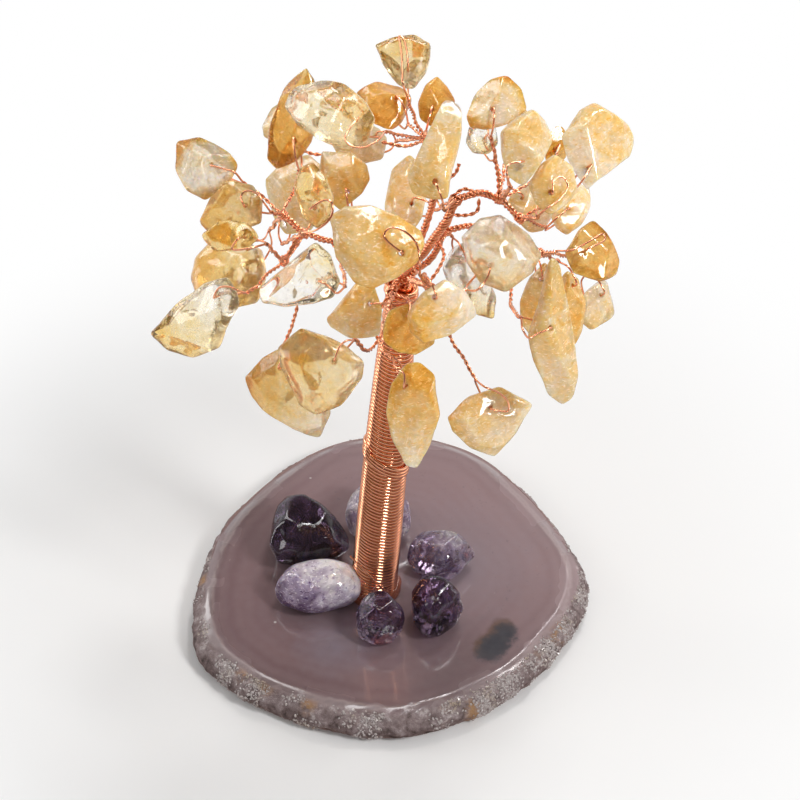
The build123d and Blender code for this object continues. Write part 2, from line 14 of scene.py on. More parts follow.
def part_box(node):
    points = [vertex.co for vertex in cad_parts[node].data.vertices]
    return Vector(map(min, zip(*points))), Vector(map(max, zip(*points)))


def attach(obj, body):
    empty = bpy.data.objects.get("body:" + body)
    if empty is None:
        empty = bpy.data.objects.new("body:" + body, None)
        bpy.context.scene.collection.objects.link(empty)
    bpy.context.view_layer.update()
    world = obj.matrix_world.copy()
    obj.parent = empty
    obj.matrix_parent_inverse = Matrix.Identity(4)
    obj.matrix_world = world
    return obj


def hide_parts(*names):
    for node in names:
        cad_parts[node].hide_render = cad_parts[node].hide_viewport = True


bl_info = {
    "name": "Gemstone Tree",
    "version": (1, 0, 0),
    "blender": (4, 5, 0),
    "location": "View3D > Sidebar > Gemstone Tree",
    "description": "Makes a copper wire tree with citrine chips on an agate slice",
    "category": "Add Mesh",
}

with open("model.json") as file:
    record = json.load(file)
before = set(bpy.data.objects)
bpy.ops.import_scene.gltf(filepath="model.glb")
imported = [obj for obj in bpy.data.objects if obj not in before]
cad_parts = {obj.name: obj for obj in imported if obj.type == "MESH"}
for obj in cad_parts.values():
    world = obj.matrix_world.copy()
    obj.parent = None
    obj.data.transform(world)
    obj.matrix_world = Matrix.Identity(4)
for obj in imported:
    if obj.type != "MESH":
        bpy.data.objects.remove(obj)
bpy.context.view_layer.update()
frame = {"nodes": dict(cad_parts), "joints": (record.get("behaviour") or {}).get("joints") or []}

MM = 0.001
TREE = "tree"

# The view that the named pixels were read in, in a picture of 800 by 800
VIEW_DISTANCE = 400 * MM
VIEW_FOCAL_PIXELS = 2120
VIEW_ELEVATION = math.radians(42)
VIEW_CENTRE_PIXEL = (400, 400)
PICTURE_PIXELS = 800
SENSOR_WIDTH_MM = 36
FOOT_PIXEL = (373.5, 588)
CROWN_DEPTH = 30 * MM

# The trunk's foot on the slice, and its top
SLICE_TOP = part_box("agate_slice")[1].z
TRUNK_FOOT = Vector((-3.0 * MM, -6.8 * MM, SLICE_TOP))
TRUNK_TOP_PIXEL = (402, 283)
TRUNK_TOP_BACK = 4 * MM
CORE_FOOT_RADIUS = 3.5 * MM
CORE_TOP_RADIUS = 1.65 * MM
CORE_TAPER_POWER = 2.2

# Where the twisted wires part: the pixel and the share of the crown's depth behind the foot
KNOTS = {
    "left_inner": ((337, 243), -0.03),
    "left_middle": ((303, 233), -0.07),
    "left_outer": ((282, 214), -0.07),
    "left_lower": ((283, 262), -0.1),
    "crown_middle": ((436, 168), 0.13),
    "crown_top": ((426, 138), 0.1),
    "right_inner": ((456, 199), -0.03),
    "right_middle": ((500, 199), -0.03),
    "right_outer": ((521, 219), -0.03),
    "east_inner": ((447, 230), 0.13),
    "east_outer": ((541, 254), 0.0),
    "front_right": ((431, 288), -0.27),
    "front_left": ((392, 291), 0.0),
}

# Each limb: the angle of its start round the trunk's top, or None in the middle, the wires that it is
# twisted from, and its branches with the points between their ends
LIMBS = {
    "left_limb": (162, 4, (
        ("trunk", (((372, 266), 0.06),), "left_inner"),
        ("left_inner", (), "left_middle"),
        ("left_middle", (), "left_outer"),
        ("left_middle", (), "left_lower"),
    )),
    "upper_limb": (90, 4, (
        ("trunk", (((413, 258), 0.15), ((430, 212), 0.16)), "crown_middle"),
        ("crown_middle", (), "crown_top"),
    )),
    "right_limb": (None, 6, (
        ("trunk", (((420, 256), 0.02), ((445, 222), -0.03)), "right_inner"),
        ("right_inner", (((478, 193), -0.03),), "right_middle"),
        ("right_middle", (), "right_outer"),
    )),
    "far_right_limb": (18, 4, (
        ("trunk", (((430, 258), 0.12),), "east_inner"),
        ("east_inner", (((480, 226), 0.17), ((520, 238), 0.12)), "east_outer"),
    )),
    "front_limb": (-54, 3, (("trunk", (((416, 282), -0.1),), "front_right"),)),
    "lower_limb": (-126, 3, (("trunk", (), "front_left"),)),
}

# Loose twisted ends that carry no stone: the limb and the points of each
STRAYS = (
    ("right_limb", (((446, 206), -0.03), ((453, 214), -0.06), ((468, 215), -0.06), ((477, 211), -0.05),
                    ((479, 199), -0.03))),
    ("right_limb", (((452, 197), -0.02), ((464, 189), 0.0), ((477, 193), -0.03))),
    ("upper_limb", (((447, 180), 0.12), ((456, 172), 0.1), ((459, 164), 0.1))),
    ("upper_limb", (((424, 140), 0.1), ((405, 146), 0.16), ((382, 142), 0.2))),
    ("left_limb", (((296, 238), -0.08), ((289, 253), -0.1), ((285, 262), -0.1), ((292, 264), -0.12))),
    ("front_limb", (((428, 283), -0.2), ((438, 270), -0.18), ((444, 256), -0.1), ((440, 243), 0.0))),
)


def chip(outline, twist_pixel, knot, route, tint, cloud, rim=0.0, end=None, gain=0.0, leg=()):
    """One chip: its outline, twist and twig, its colour, and the pixels of its loop's front leg."""
    return {
        "outline": outline, "twist_pixel": twist_pixel, "knot": knot, "route": route,
        "tint": tint, "cloud": cloud, "rim": rim, "end": end, "gain": gain, "leg": leg,
    }


# Tint goes from pale to deep amber and cloud from clear to milky. The rim's share, and the gain towards
# one end at an angle in the view, are added to the tint.
CHIPS = {
    "citrine_far_left": chip(
        ((177, 143), (200, 140), (229, 153), (237, 166), (226, 186), (205, 200), (187, 190), (176, 172)),
        (243, 182), "left_outer", (((262, 196), 0.0),), 0.08, 0.42, rim=0.75,
        leg=((234, 172), (224, 169))),
    "citrine_left_yellow": chip(
        ((211, 197), (230, 183), (252, 187), (262, 202), (260, 222), (240, 229), (209, 231), (200, 221)),
        (271, 212), "left_outer", (), 0.54, 0.36, end=200, gain=0.15,
        leg=((264, 203), (256, 193), (246, 191), (241, 196))),
    "citrine_left_sparkle": chip(
        ((202, 238), (220, 225), (246, 226), (258, 238), (243, 250), (215, 252)),
        (266, 244), "left_lower", (), 0.62, 0.2, leg=((250, 248), (232, 249))),
    "citrine_left_back": chip(
        ((197, 262), (214, 243), (240, 238), (262, 250), (266, 275), (256, 300), (230, 306), (198, 298),
         (192, 280)),
        (269, 231), "left_outer", (), 0.6, 0.24, end=180, gain=0.3,
        leg=((262, 240),)),
    "citrine_lower_left": chip(
        ((151, 334), (176, 304), (202, 284), (226, 278), (240, 306), (222, 332), (216, 349), (192, 359),
         (164, 349)),
        (247, 293), "left_lower", (), 0.3, 0.14, end=215, gain=0.3,
        leg=((239, 291), (230, 287), (219, 288))),
    "citrine_upper_left": chip(
        ((303, 70), (317, 84), (318, 110), (313, 138), (296, 157), (276, 167), (266, 157), (270, 128),
         (283, 90)),
        (299, 170), "left_outer", (((294, 190), 0.06),), 0.84, 0.26, end=250, gain=0.2),
    "citrine_top_clear": chip(
        ((284, 104), (300, 88), (320, 82), (347, 87), (367, 103), (376, 121), (369, 138), (350, 149),
         (328, 142), (300, 126)),
        (385, 132), "crown_top", (), 0.34, 0.2, end=0, gain=0.2,
        leg=((378, 140), (365, 147), (352, 146), (345, 138))),
    "citrine_back_one": chip(
        ((262, 122), (272, 106), (290, 103), (302, 118), (298, 138), (278, 143), (264, 135)),
        (302, 150), "left_inner", (((345, 165), 0.45),), 0.35, 0.5),
    "citrine_back_two": chip(
        ((330, 142), (345, 130), (370, 127), (387, 137), (384, 153), (362, 160), (338, 156)),
        (396, 141), "crown_top", (), 0.25, 0.75),
    "citrine_top_amber": chip(
        ((356, 94), (375, 86), (400, 87), (412, 99), (403, 115), (388, 127), (368, 120)),
        (408, 124), "crown_top", (), 0.8, 0.45),
    "citrine_inner_amber": chip(
        ((322, 153), (350, 153), (367, 165), (370, 178), (362, 191), (340, 206), (326, 195), (319, 172)),
        (351, 216), "left_inner", (), 0.5, 0.6, end=320, gain=0.2),
    "citrine_left_looped": chip(
        ((301, 171), (316, 165), (326, 178), (334, 199), (329, 217), (316, 226), (302, 217), (294, 188)),
        (302, 233), "left_middle", (), 0.52, 0.18,
        leg=((318, 229), (331, 217), (332, 203), (325, 200))),
    "citrine_pale_back": chip(
        ((266, 180), (285, 160), (310, 155), (328, 170), (329, 203), (310, 228), (284, 232), (267, 212)),
        (282, 244), "left_middle", (), 0.36, 0.75),
    "citrine_front_large": chip(
        ((329, 216), (345, 206), (371, 206), (400, 217), (421, 230), (425, 244), (417, 262), (395, 277),
         (372, 287), (353, 280), (335, 255)),
        (420, 275), "front_right", (), 0.5, 0.78, end=330, gain=0.15,
        leg=((420, 262), (416, 243), (402, 230), (390, 228), (384, 236))),
    "citrine_front_clear": chip(
        ((316, 242), (329, 254), (340, 280), (334, 296), (315, 302), (285, 306), (263, 302), (258, 288),
         (283, 268), (303, 251)),
        (345, 287), "left_inner", (), 0.06, 0.04, rim=0.35, end=20, gain=0.25,
        leg=((336, 293), (327, 285))),
    "citrine_under_amber": chip(
        ((357, 283), (376, 286), (382, 308), (381, 337), (352, 337), (330, 328), (326, 319), (344, 298)),
        (390, 303), "front_left", (), 0.46, 0.75, end=90, gain=0.1),
    "citrine_under_back": chip(
        ((383, 324), (390, 310), (407, 304), (425, 306), (437, 318), (433, 341), (414, 353), (396, 350),
         (384, 339)),
        (408, 299), "front_left", (), 0.64, 0.6, end=180, gain=0.1),
    "citrine_barrel": chip(
        ((407, 314), (425, 294), (445, 282), (464, 292), (477, 316), (452, 334), (425, 343), (412, 332)),
        (424, 274), "front_right", (), 0.34, 0.9, end=205, gain=0.35),
    "citrine_hanging_middle": chip(
        ((399, 369), (420, 366), (436, 377), (437, 396), (440, 414), (430, 446), (419, 465), (405, 463),
         (391, 438), (386, 410), (390, 385)),
        (393, 358), "front_left", (((381, 345), -0.28), ((376, 322), -0.14)), 0.5, 0.8,
        end=90, gain=0.3, leg=((396, 368), (404, 374))),
    "citrine_hanging_right": chip(
        ((448, 418), (470, 399), (500, 388), (532, 404), (516, 432), (494, 456), (470, 447), (452, 432)),
        (476, 380), "front_right",
        (((466, 362), -0.38), ((450, 334), -0.34), ((446, 306), -0.3)),
        0.34, 0.82, end=140, gain=0.2,
        leg=((485, 387), (499, 393), (508, 402), (508, 411))),
    "citrine_lower_front": chip(
        ((278, 350), (300, 330), (326, 338), (347, 348), (364, 360), (362, 377), (342, 402), (318, 411),
         (299, 402), (281, 368)),
        (354, 340), "front_left", (((372, 347), -0.2), ((388, 322), -0.06)), 0.44, 0.28,
        end=150, gain=0.15, leg=((346, 341), (340, 346))),
    "citrine_lower_back": chip(
        ((245, 379), (262, 358), (282, 348), (302, 362), (325, 390), (331, 412), (318, 437), (296, 429),
         (270, 411), (250, 398)),
        (287, 338), "left_lower", (((297, 302), -0.22),), 0.46, 0.42, end=165, gain=0.3,
        leg=((282, 348), (282, 358))),
    "citrine_crown": chip(
        ((375, 48), (394, 43), (415, 38), (431, 48), (430, 60), (424, 76), (415, 88), (398, 79), (383, 64)),
        (408, 98), "crown_top", (((414, 118), 0.02),), 0.4, 0.2, end=110, gain=0.25,
        leg=((403, 84), (402, 60), (400, 42), (399, 36), (403, 38), (407, 52))),
    "citrine_small_dark": chip(
        ((436, 79), (447, 88), (455, 101), (447, 117), (431, 124), (419, 117), (418, 102), (424, 87)),
        (426, 131), "crown_top", (), 0.85, 0.5),
    "citrine_front_club": chip(
        ((443, 106), (452, 102), (463, 113), (462, 136), (452, 174), (447, 199), (430, 199), (412, 194),
         (406, 180), (424, 145)),
        (444, 210), "right_inner", (), 0.38, 0.85, end=270, gain=0.1),
    "citrine_behind_club": chip(
        ((392, 170), (409, 158), (423, 165), (427, 190), (424, 214), (409, 234), (392, 229), (384, 205)),
        (434, 210), "right_inner", (), 0.36, 0.92),
    "citrine_top_right": chip(
        ((466, 116), (472, 96), (490, 81), (506, 77), (520, 90), (527, 108), (511, 122), (488, 128),
         (471, 125)),
        (491, 136), "right_middle", (((497, 166), -0.02),), 0.24, 0.6, rim=0.6,
        end=60, gain=0.1),
    "citrine_clear_back": chip(
        ((468, 128), (482, 124), (496, 130), (498, 143), (489, 152), (474, 150), (466, 140)),
        (494, 160), "right_middle", (((500, 178), 0.1),), 0.05, 0.1, end=270, gain=0.55),
    "citrine_right_upper": chip(
        ((501, 131), (515, 117), (532, 110), (546, 121), (552, 138), (538, 165), (525, 181), (511, 173),
         (503, 152)),
        (511, 187), "right_middle", (), 0.36, 0.82,
        leg=((507, 176), (508, 165))),
    "citrine_small_back": chip(
        ((504, 112), (515, 104), (527, 106), (531, 117), (521, 126), (507, 123)),
        (506, 134), "right_middle", (((505, 170), 0.2),), 0.7, 0.3),
    "citrine_small_amber": chip(
        ((546, 139), (556, 132), (567, 139), (566, 152), (556, 161), (547, 153)),
        (549, 169), "right_middle", (((535, 180), 0.17),), 0.9, 0.2),
    "citrine_right_slab": chip(
        ((562, 136), (580, 109), (592, 103), (607, 112), (625, 125), (634, 138), (627, 155), (608, 169),
         (587, 187), (572, 171)),
        (571, 193), "right_outer", (), 0.3, 0.9, end=70, gain=0.2),
    "citrine_right_front": chip(
        ((529, 184), (540, 165), (555, 156), (572, 168), (577, 190), (566, 206), (550, 214), (537, 205)),
        (538, 216), "right_outer", (), 0.4, 0.86,
        leg=((546, 209), (560, 199), (568, 186), (563, 177), (554, 180))),
    "citrine_right_behind": chip(
        ((552, 216), (560, 197), (577, 186), (589, 193), (588, 212), (580, 227), (569, 235), (557, 228)),
        (547, 227), "right_outer", (), 0.34, 0.92),
    "citrine_pale_middle": chip(
        ((508, 202), (518, 188), (538, 185), (553, 197), (554, 214), (544, 229), (525, 231), (512, 220)),
        (505, 191), "right_middle", (), 0.3, 0.82, end=200, gain=0.15),
    "citrine_round_front": chip(
        ((462, 240), (480, 222), (500, 219), (529, 237), (542, 257), (532, 275), (505, 293), (481, 284),
         (466, 264)),
        (466, 290), "front_right", (((452, 290), -0.4),), 0.22, 0.34, end=290,
        gain=0.2, leg=((477, 290), (484, 283), (488, 276))),
    "citrine_grey_behind": chip(
        ((446, 246), (462, 247), (480, 268), (497, 298), (495, 318), (478, 316), (455, 298), (442, 274)),
        (453, 238), "east_inner", (), 0.02, 0.2, end=260, gain=0.75),
    "citrine_prism": chip(
        ((549, 259), (560, 262), (572, 320), (578, 374), (572, 396), (561, 402), (548, 395), (533, 360),
         (529, 335), (538, 296)),
        (521, 318), "east_outer", (((510, 300), -0.27), ((518, 272), -0.06)), 0.4, 0.7,
        end=90, gain=0.15, leg=((523, 330), (529, 338), (537, 334))),
    "citrine_prism_left": chip(
        ((520, 300), (530, 277), (544, 263), (556, 274), (552, 300), (545, 324), (531, 332), (520, 320)),
        (536, 255), "east_outer", (), 0.52, 0.6),
    "citrine_prism_right": chip(
        ((563, 271), (577, 279), (583, 305), (581, 331), (573, 346), (562, 335), (558, 300)),
        (559, 262), "east_outer", (), 0.58, 0.62),
    "citrine_speckled": chip(
        ((602, 279), (612, 299), (611, 316), (593, 329), (583, 318), (586, 294)),
        (586, 274), "east_outer", (((568, 258), 0.28),), 0.22, 0.62, end=270, gain=0.2),
    "citrine_right_amber": chip(
        ((566, 248), (580, 229), (592, 222), (604, 232), (619, 257), (617, 271), (600, 276), (574, 268)),
        (556, 251), "east_outer", (), 0.7, 0.36, end=200, gain=-0.15,
        leg=((572, 250), (590, 241), (603, 234), (605, 239))),
}

# Amethysts: tint goes from white to near black and cloud from clear to milky, with the gain towards one end
AMETHYSTS = {
    "amethyst_back_left": {
        "outline": ((269, 546), (271, 520), (283, 499), (303, 500), (322, 511), (340, 526), (350, 543),
                    (331, 555), (300, 561), (276, 555)),
        "tint": 0.9, "cloud": 0.45, "end": 300, "gain": 0.1},
    "amethyst_behind_trunk": {
        "outline": ((345, 524), (350, 502), (368, 486), (392, 489), (411, 508), (411, 526), (390, 533),
                    (358, 534)),
        "tint": 0.22, "cloud": 0.6, "end": 0, "gain": 0.1},
    "amethyst_back_right": {
        "outline": ((407, 553), (417, 540), (432, 534), (456, 540), (475, 552), (463, 563), (447, 574),
                    (426, 571), (410, 563)),
        "tint": 0.42, "cloud": 0.35, "end": 230, "gain": 0.3},
    "amethyst_front_right": {
        "outline": ((411, 594), (422, 580), (443, 585), (464, 601), (457, 616), (440, 627), (425, 629),
                    (413, 618)),
        "tint": 0.75, "cloud": 0.15, "end": 20, "gain": -0.15},
    "amethyst_front": {
        "outline": ((356, 610), (372, 598), (392, 599), (403, 611), (405, 622), (396, 634), (376, 637),
                    (357, 630)),
        "tint": 0.6, "cloud": 0.15, "end": 90, "gain": 0.1},
    "amethyst_front_left": {
        "outline": ((274, 589), (286, 573), (318, 567), (350, 569), (363, 581), (362, 594), (340, 605),
                    (306, 610), (282, 602)),
        "tint": 0.24, "cloud": 0.9, "end": 225, "gain": 0.3},
}

# Colours in linear light
CITRINE_MILKY = ((0.0, (1.0, 0.83, 0.68)), (0.2, (0.99, 0.755, 0.50)), (0.45, (0.97, 0.635, 0.25)),
                 (0.7, (0.94, 0.495, 0.09)), (1.0, (0.76, 0.30, 0.02)))
CITRINE_CLEAR = ((0.0, (0.99, 0.965, 0.93)), (0.3, (0.99, 0.89, 0.63)), (0.6, (0.99, 0.76, 0.31)),
                 (1.0, (0.86, 0.44, 0.07)))
AMETHYST_MILKY = ((0.0, (0.82, 0.78, 0.80)), (0.28, (0.42, 0.34, 0.45)), (0.55, (0.12, 0.07, 0.14)),
                  (1.0, (0.02, 0.014, 0.022)))
AMETHYST_CLEAR = ((0.0, (0.96, 0.94, 0.96)), (0.4, (0.68, 0.56, 0.72)), (0.7, (0.26, 0.16, 0.30)),
                  (1.0, (0.06, 0.04, 0.07)))
# The agate's bands by depth from the polished face's edge; the lighter stop just inside the edge is a painted
# glint along the polished edge
AGATE_BANDS_AND_EDGE_GLINT = ((0.0, (0.24, 0.18, 0.18)), (0.015, (0.30, 0.225, 0.22)), (0.03, (0.205, 0.133, 0.140)),
               (0.07, (0.250, 0.163, 0.170)), (0.12, (0.226, 0.140, 0.149)), (0.2, (0.262, 0.168, 0.176)),
               (0.34, (0.240, 0.150, 0.161)), (0.5, (0.252, 0.163, 0.174)), (0.68, (0.236, 0.155, 0.168)),
               (1.0, (0.245, 0.172, 0.19)))


class GemTreeSizes(bpy.types.PropertyGroup):
    """Sizes that the tree is made to."""

    thin_wire: FloatProperty(
        name="Thin Wire", description="Diameter of the wire that goes through the chips",
        default=0.34 * MM, unit="LENGTH", precision=5)
    trunk_wire: FloatProperty(
        name="Trunk Wire", description="Diameter of the wire wound round the trunk",
        default=0.77 * MM, unit="LENGTH", precision=5)
    twig_lay: FloatProperty(
        name="Twig Lay", description="Length of one full twist of a twig",
        default=2.3 * MM, unit="LENGTH", precision=5)
    limb_strand: FloatProperty(
        name="Limb Strand", description="Thickness of the wires that a limb is twisted from",
        default=0.43 * MM, unit="LENGTH", precision=5)
    limb_lay: FloatProperty(
        name="Limb Lay", description="Length of one full twist of a limb, in times its radius",
        default=7.0)
    chip_grain: FloatProperty(
        name="Chip Grain", description="Size of the squares that a chip's surface is made of",
        default=0.3 * MM, unit="LENGTH", precision=5)
    rim_crystals: IntProperty(
        name="Rim Crystals", description="Crystals on a square millimetre of the rim where they are thickest",
        default=9)


class GemTreeColours(bpy.types.PropertyGroup):
    """Colours that the tree is finished in."""

    copper: FloatVectorProperty(
        name="Copper", description="Colour of the bright wire",
        default=(0.95, 0.455, 0.27, 1.0), size=4, subtype="COLOR")
    crystal: FloatVectorProperty(
        name="Rim Crystal", description="Colour of the small crystals on the rim",
        default=(0.46, 0.41, 0.40, 1.0), size=4, subtype="COLOR")
    floor: FloatVectorProperty(
        name="Floor", description="Colour of the floor near the tree",
        default=(0.93, 0.925, 0.92, 1.0), size=4, subtype="COLOR")


# Places read by sight lines

SIGHT_AHEAD = Vector((0, math.cos(VIEW_ELEVATION), -math.sin(VIEW_ELEVATION)))
SIGHT_UP = Vector((0, math.sin(VIEW_ELEVATION), math.cos(VIEW_ELEVATION)))
SIGHT_RIGHT = Vector((1, 0, 0))


def sight_line(pixel):
    """The direction in which the eye sees a pixel."""
    across = (pixel[0] - VIEW_CENTRE_PIXEL[0]) / VIEW_FOCAL_PIXELS
    above = (VIEW_CENTRE_PIXEL[1] - pixel[1]) / VIEW_FOCAL_PIXELS
    return SIGHT_AHEAD + SIGHT_RIGHT * across + SIGHT_UP * above


EYE = TRUNK_FOOT - sight_line(FOOT_PIXEL) * VIEW_DISTANCE


def seen_on(pixel, point, normal):
    """The point of a plane that a pixel shows."""
    line = sight_line(pixel)
    return EYE + line * ((point - EYE).dot(normal) / line.dot(normal))


def seen_behind_foot(pixel, back):
    """The point that a pixel shows at a distance behind the trunk's foot."""
    return seen_on(pixel, TRUNK_FOOT + Vector((0, back, 0)), Vector((0, 1, 0)))


def seen_on_slice(pixel):
    """The point of the slice's polished face that a pixel shows."""
    return seen_on(pixel, Vector((0, 0, SLICE_TOP)), Vector((0, 0, 1)))


TRUNK_TOP = seen_behind_foot(TRUNK_TOP_PIXEL, TRUNK_TOP_BACK)
TRUNK_AXIS = (TRUNK_TOP - TRUNK_FOOT).normalized()
TRUNK_LENGTH = (TRUNK_TOP - TRUNK_FOOT).length
TRUNK_X = Vector((0, 1, 0)).cross(TRUNK_AXIS).normalized()
TRUNK_Y = TRUNK_AXIS.cross(TRUNK_X)
TRUNK_FRAME = Matrix.Translation(TRUNK_FOOT) @ Matrix((TRUNK_X, TRUNK_Y, TRUNK_AXIS)).transposed().to_4x4()


# Node trees written as sums


class Value:
    """One output of a node. Sums and products of values add Math nodes."""

    def __init__(self, recipe, socket):
        self.recipe = recipe
        self.socket = socket

    def math(self, operation, *values, clamp=False):
        settings = {"operation": operation, "use_clamp": clamp}
        return self.recipe.node("ShaderNodeMath", settings, dict(enumerate(values)))

    def __add__(self, other):
        return self.math("ADD", self, other)

    def __radd__(self, other):
        return self.math("ADD", other, self)

    def __sub__(self, other):
        return self.math("SUBTRACT", self, other)

    def __rsub__(self, other):
        return self.math("SUBTRACT", other, self)

    def __mul__(self, other):
        return self.math("MULTIPLY", self, other)

    def __rmul__(self, other):
        return self.math("MULTIPLY", other, self)

    def __truediv__(self, other):
        return self.math("DIVIDE", self, other)

    def __pow__(self, other):
        return self.math("POWER", self, other)

    def limited(self):
        """The value kept between 0 and 1."""
        return self.math("ADD", self, 0.0, clamp=True)

    def rising(self, low, high):
        """0 below the low value, 1 above the high one, smooth between."""
        settings = {"interpolation_type": "SMOOTHSTEP"}
        return self.recipe.node("ShaderNodeMapRange", settings, {0: self, 1: low, 2: high, 3: 0.0, 4: 1.0})


class Recipe:
    """A node tree in the making."""

    def __init__(self, tree):
        self.tree = tree

    def node(self, kind, settings=None, inputs=None, output=0):
        """Adds a node, sets it up, feeds its sockets and gives one of its outputs."""
        made = self.tree.nodes.new(kind)
        for name, value in (settings or {}).items():
            if name == "stops":
                set_stops(made.color_ramp, value)
            else:
                setattr(made, name, value)
        for name, value in (inputs or {}).items():
            self.feed(made.inputs[name], value)
        return Value(self, made.outputs[output])

    def feed(self, socket, value):
        """Links a value to a socket, or sets the socket's own number or colour."""
        if isinstance(value, Value):
            self.tree.links.new(value.socket, socket)
        elif isinstance(value, tuple) and len(value) == 3 and socket.type == "RGBA":
            socket.default_value = (*value, 1.0)
        else:
            socket.default_value = value

    def place(self):
        """The place on the object, in metres."""
        return self.node("ShaderNodeTexCoord", output="Object")

    def noise(self, place, size, detail=2.0, rough=0.5, warp=0.0):
        """Soft noise with features of a size in metres."""
        return self.node("ShaderNodeTexNoise", None, {
            "Vector": place, "Scale": 1 / size, "Detail": detail, "Roughness": rough, "Distortion": warp})

    def wave(self, place, detail):
        """Soft noise along a line, about 0."""
        return self.node("ShaderNodeTexNoise", {"noise_dimensions": "1D"}, {
            "W": place, "Scale": 1.0, "Detail": detail}) - 0.5

    def measure(self, operation, *vectors):
        """A number that comes from vectors, such as a length."""
        fed = {index: vector if isinstance(vector, Value) else tuple(vector)
               for index, vector in enumerate(vectors)}
        return self.node("ShaderNodeVectorMath", {"operation": operation}, fed, output="Value")

    def ray(self, kind):
        """1 for a kind of ray, 0 for the others."""
        return self.node("ShaderNodeLightPath", output="Is %s Ray" % kind)

    def cells(self, place, size, feature="F1"):
        """The distance to the nearest of many scattered points."""
        return self.node("ShaderNodeTexVoronoi", {"feature": feature}, {"Vector": place, "Scale": 1 / size})

    def attribute(self, name):
        """A number that the mesh carries at each point."""
        return self.node("ShaderNodeAttribute", {"attribute_name": name}, output="Fac")

    def ramp(self, value, stops):
        """A colour for each height of a value."""
        return self.node("ShaderNodeValToRGB", {"stops": stops}, {"Fac": value})

    def blend(self, share, first, second, kind="MIX"):
        """A mix of two colours."""
        settings = {"data_type": "RGBA", "blend_type": kind}
        return self.node("ShaderNodeMix", settings, {0: share, 6: first, 7: second}, output=2)

    def bump(self, height, strength, distance):
        """A normal bent by a height."""
        return self.node("ShaderNodeBump", None, {
            "Strength": strength, "Distance": distance, "Height": height})

    def surface(self, **inputs):
        """A Principled surface, its sockets named with underscores for spaces."""
        named = {name.replace("_", " "): value for name, value in inputs.items()}
        return self.node("ShaderNodeBsdfPrincipled", None, named)

    def mixed(self, share, first, second):
        """A mix of two surfaces."""
        return self.node("ShaderNodeMixShader", None, {0: share, 1: first, 2: second})


def set_stops(ramp, stops):
    """Gives a colour ramp its stops."""
    while len(ramp.elements) < len(stops):
        ramp.elements.new(1.0)
    for element, (height, colour) in zip(ramp.elements, stops):
        element.position = height
        element.color = (*colour, 1.0)


def finish(build):
    """The material that a function builds, made once and named after it."""
    material = bpy.data.materials.get(build.__name__)
    if material is None:
        material = bpy.data.materials.new(build.__name__)
        material.use_nodes = True
        material.node_tree.nodes.clear()
        recipe = Recipe(material.node_tree)
        surface = build(recipe)
        recipe.feed(recipe.tree.nodes.new("ShaderNodeOutputMaterial").inputs["Surface"], surface)
    return material


# Finishes


def quartz(recipe, milky_stops, clear_stops, depth, sugar, dents):
    """Tumbled quartz: clear stone with milky veils and cracks, coloured by the tint it carries."""
    place = recipe.place()
    tint = recipe.attribute("tint")
    cloud = recipe.attribute("cloud")
    patches = recipe.noise(place, 3.2 * MM, detail=3.0, warp=0.8)
    grain = recipe.noise(place, 0.45 * MM, detail=3.0, rough=0.6)
    veils = recipe.noise(place, 2.0 * MM, detail=5.0, rough=0.6, warp=1.5)
    cracks = recipe.cells(place, 1.8 * MM, "DISTANCE_TO_EDGE").rising(0.035, 0.0) * veils.rising(0.5, 0.62)
    leaning = recipe.node("ShaderNodeMapping", None, {
        "Vector": place, "Rotation": (0.6, 0.9, 0.3), "Scale": (1.0, 1.0, 3.0)})
    flecks = recipe.noise(leaning, 0.7 * MM, detail=1.0).rising(0.62, 0.72)
    stains = recipe.noise(leaning, 1.1 * MM, detail=2.0, warp=1.0).rising(0.58, 0.70)
    milky = cloud.rising(0.1, 0.6)
    shade = (tint + (patches - 0.5) * 0.85 + (grain - 0.5) * milky * sugar + stains * 0.22
             - (flecks + cracks) * milky * 0.25).limited()
    milk = (cloud + (veils - 0.5) * 0.7 + (cracks + flecks) * milky * 0.25).limited()
    hollow = recipe.noise(place, 2.4 * MM, detail=1.0, warp=0.5)
    pits = recipe.noise(place, 0.5 * MM, detail=1.0).rising(0.6, 0.75) * patches.rising(0.5, 0.62)
    normal = recipe.bump((hollow + pits * 0.04) * (milky * 0.8 + 0.2), dents, 0.5 * MM)
    body = recipe.surface(
        Base_Color=recipe.ramp(shade, milky_stops), Roughness=0.05, IOR=1.5, Normal=normal,
        Subsurface_Weight=0.6, Subsurface_Radius=(1.0, 0.7, 0.35), Subsurface_Scale=depth)
    glass = recipe.surface(
        Base_Color=recipe.ramp(shade, clear_stops), Roughness=0.02, IOR=1.5, Normal=normal,
        Transmission_Weight=1.0)
    return recipe.mixed(milk, glass, body)


def tumbled_citrine(recipe):
    """Yellow quartz, pale to deep amber."""
    return quartz(recipe, CITRINE_MILKY, CITRINE_CLEAR, 2.5 * MM, 0.4, 0.22)


def tumbled_amethyst(recipe):
    """Purple quartz, white to near black."""
    return quartz(recipe, AMETHYST_MILKY, AMETHYST_CLEAR, 1.2 * MM, 0.08, 0.1)


def bright_copper(recipe):
    """Bright drawn copper with a little tarnish."""
    place = recipe.place()
    tarnish = recipe.noise(place, 4 * MM, detail=3.0)
    drawn = recipe.noise(place, 0.5 * MM, detail=2.0)
    bright = tuple(bpy.context.scene.gem_tree_colours.copper)
    dull = tuple(part * 0.7 for part in bright[:3]) + (1.0,)
    colour = recipe.blend(tarnish.rising(0.45, 0.8), bright, dull)
    return recipe.surface(Base_Color=colour, Metallic=1.0, Roughness=0.10 + drawn * 0.1)


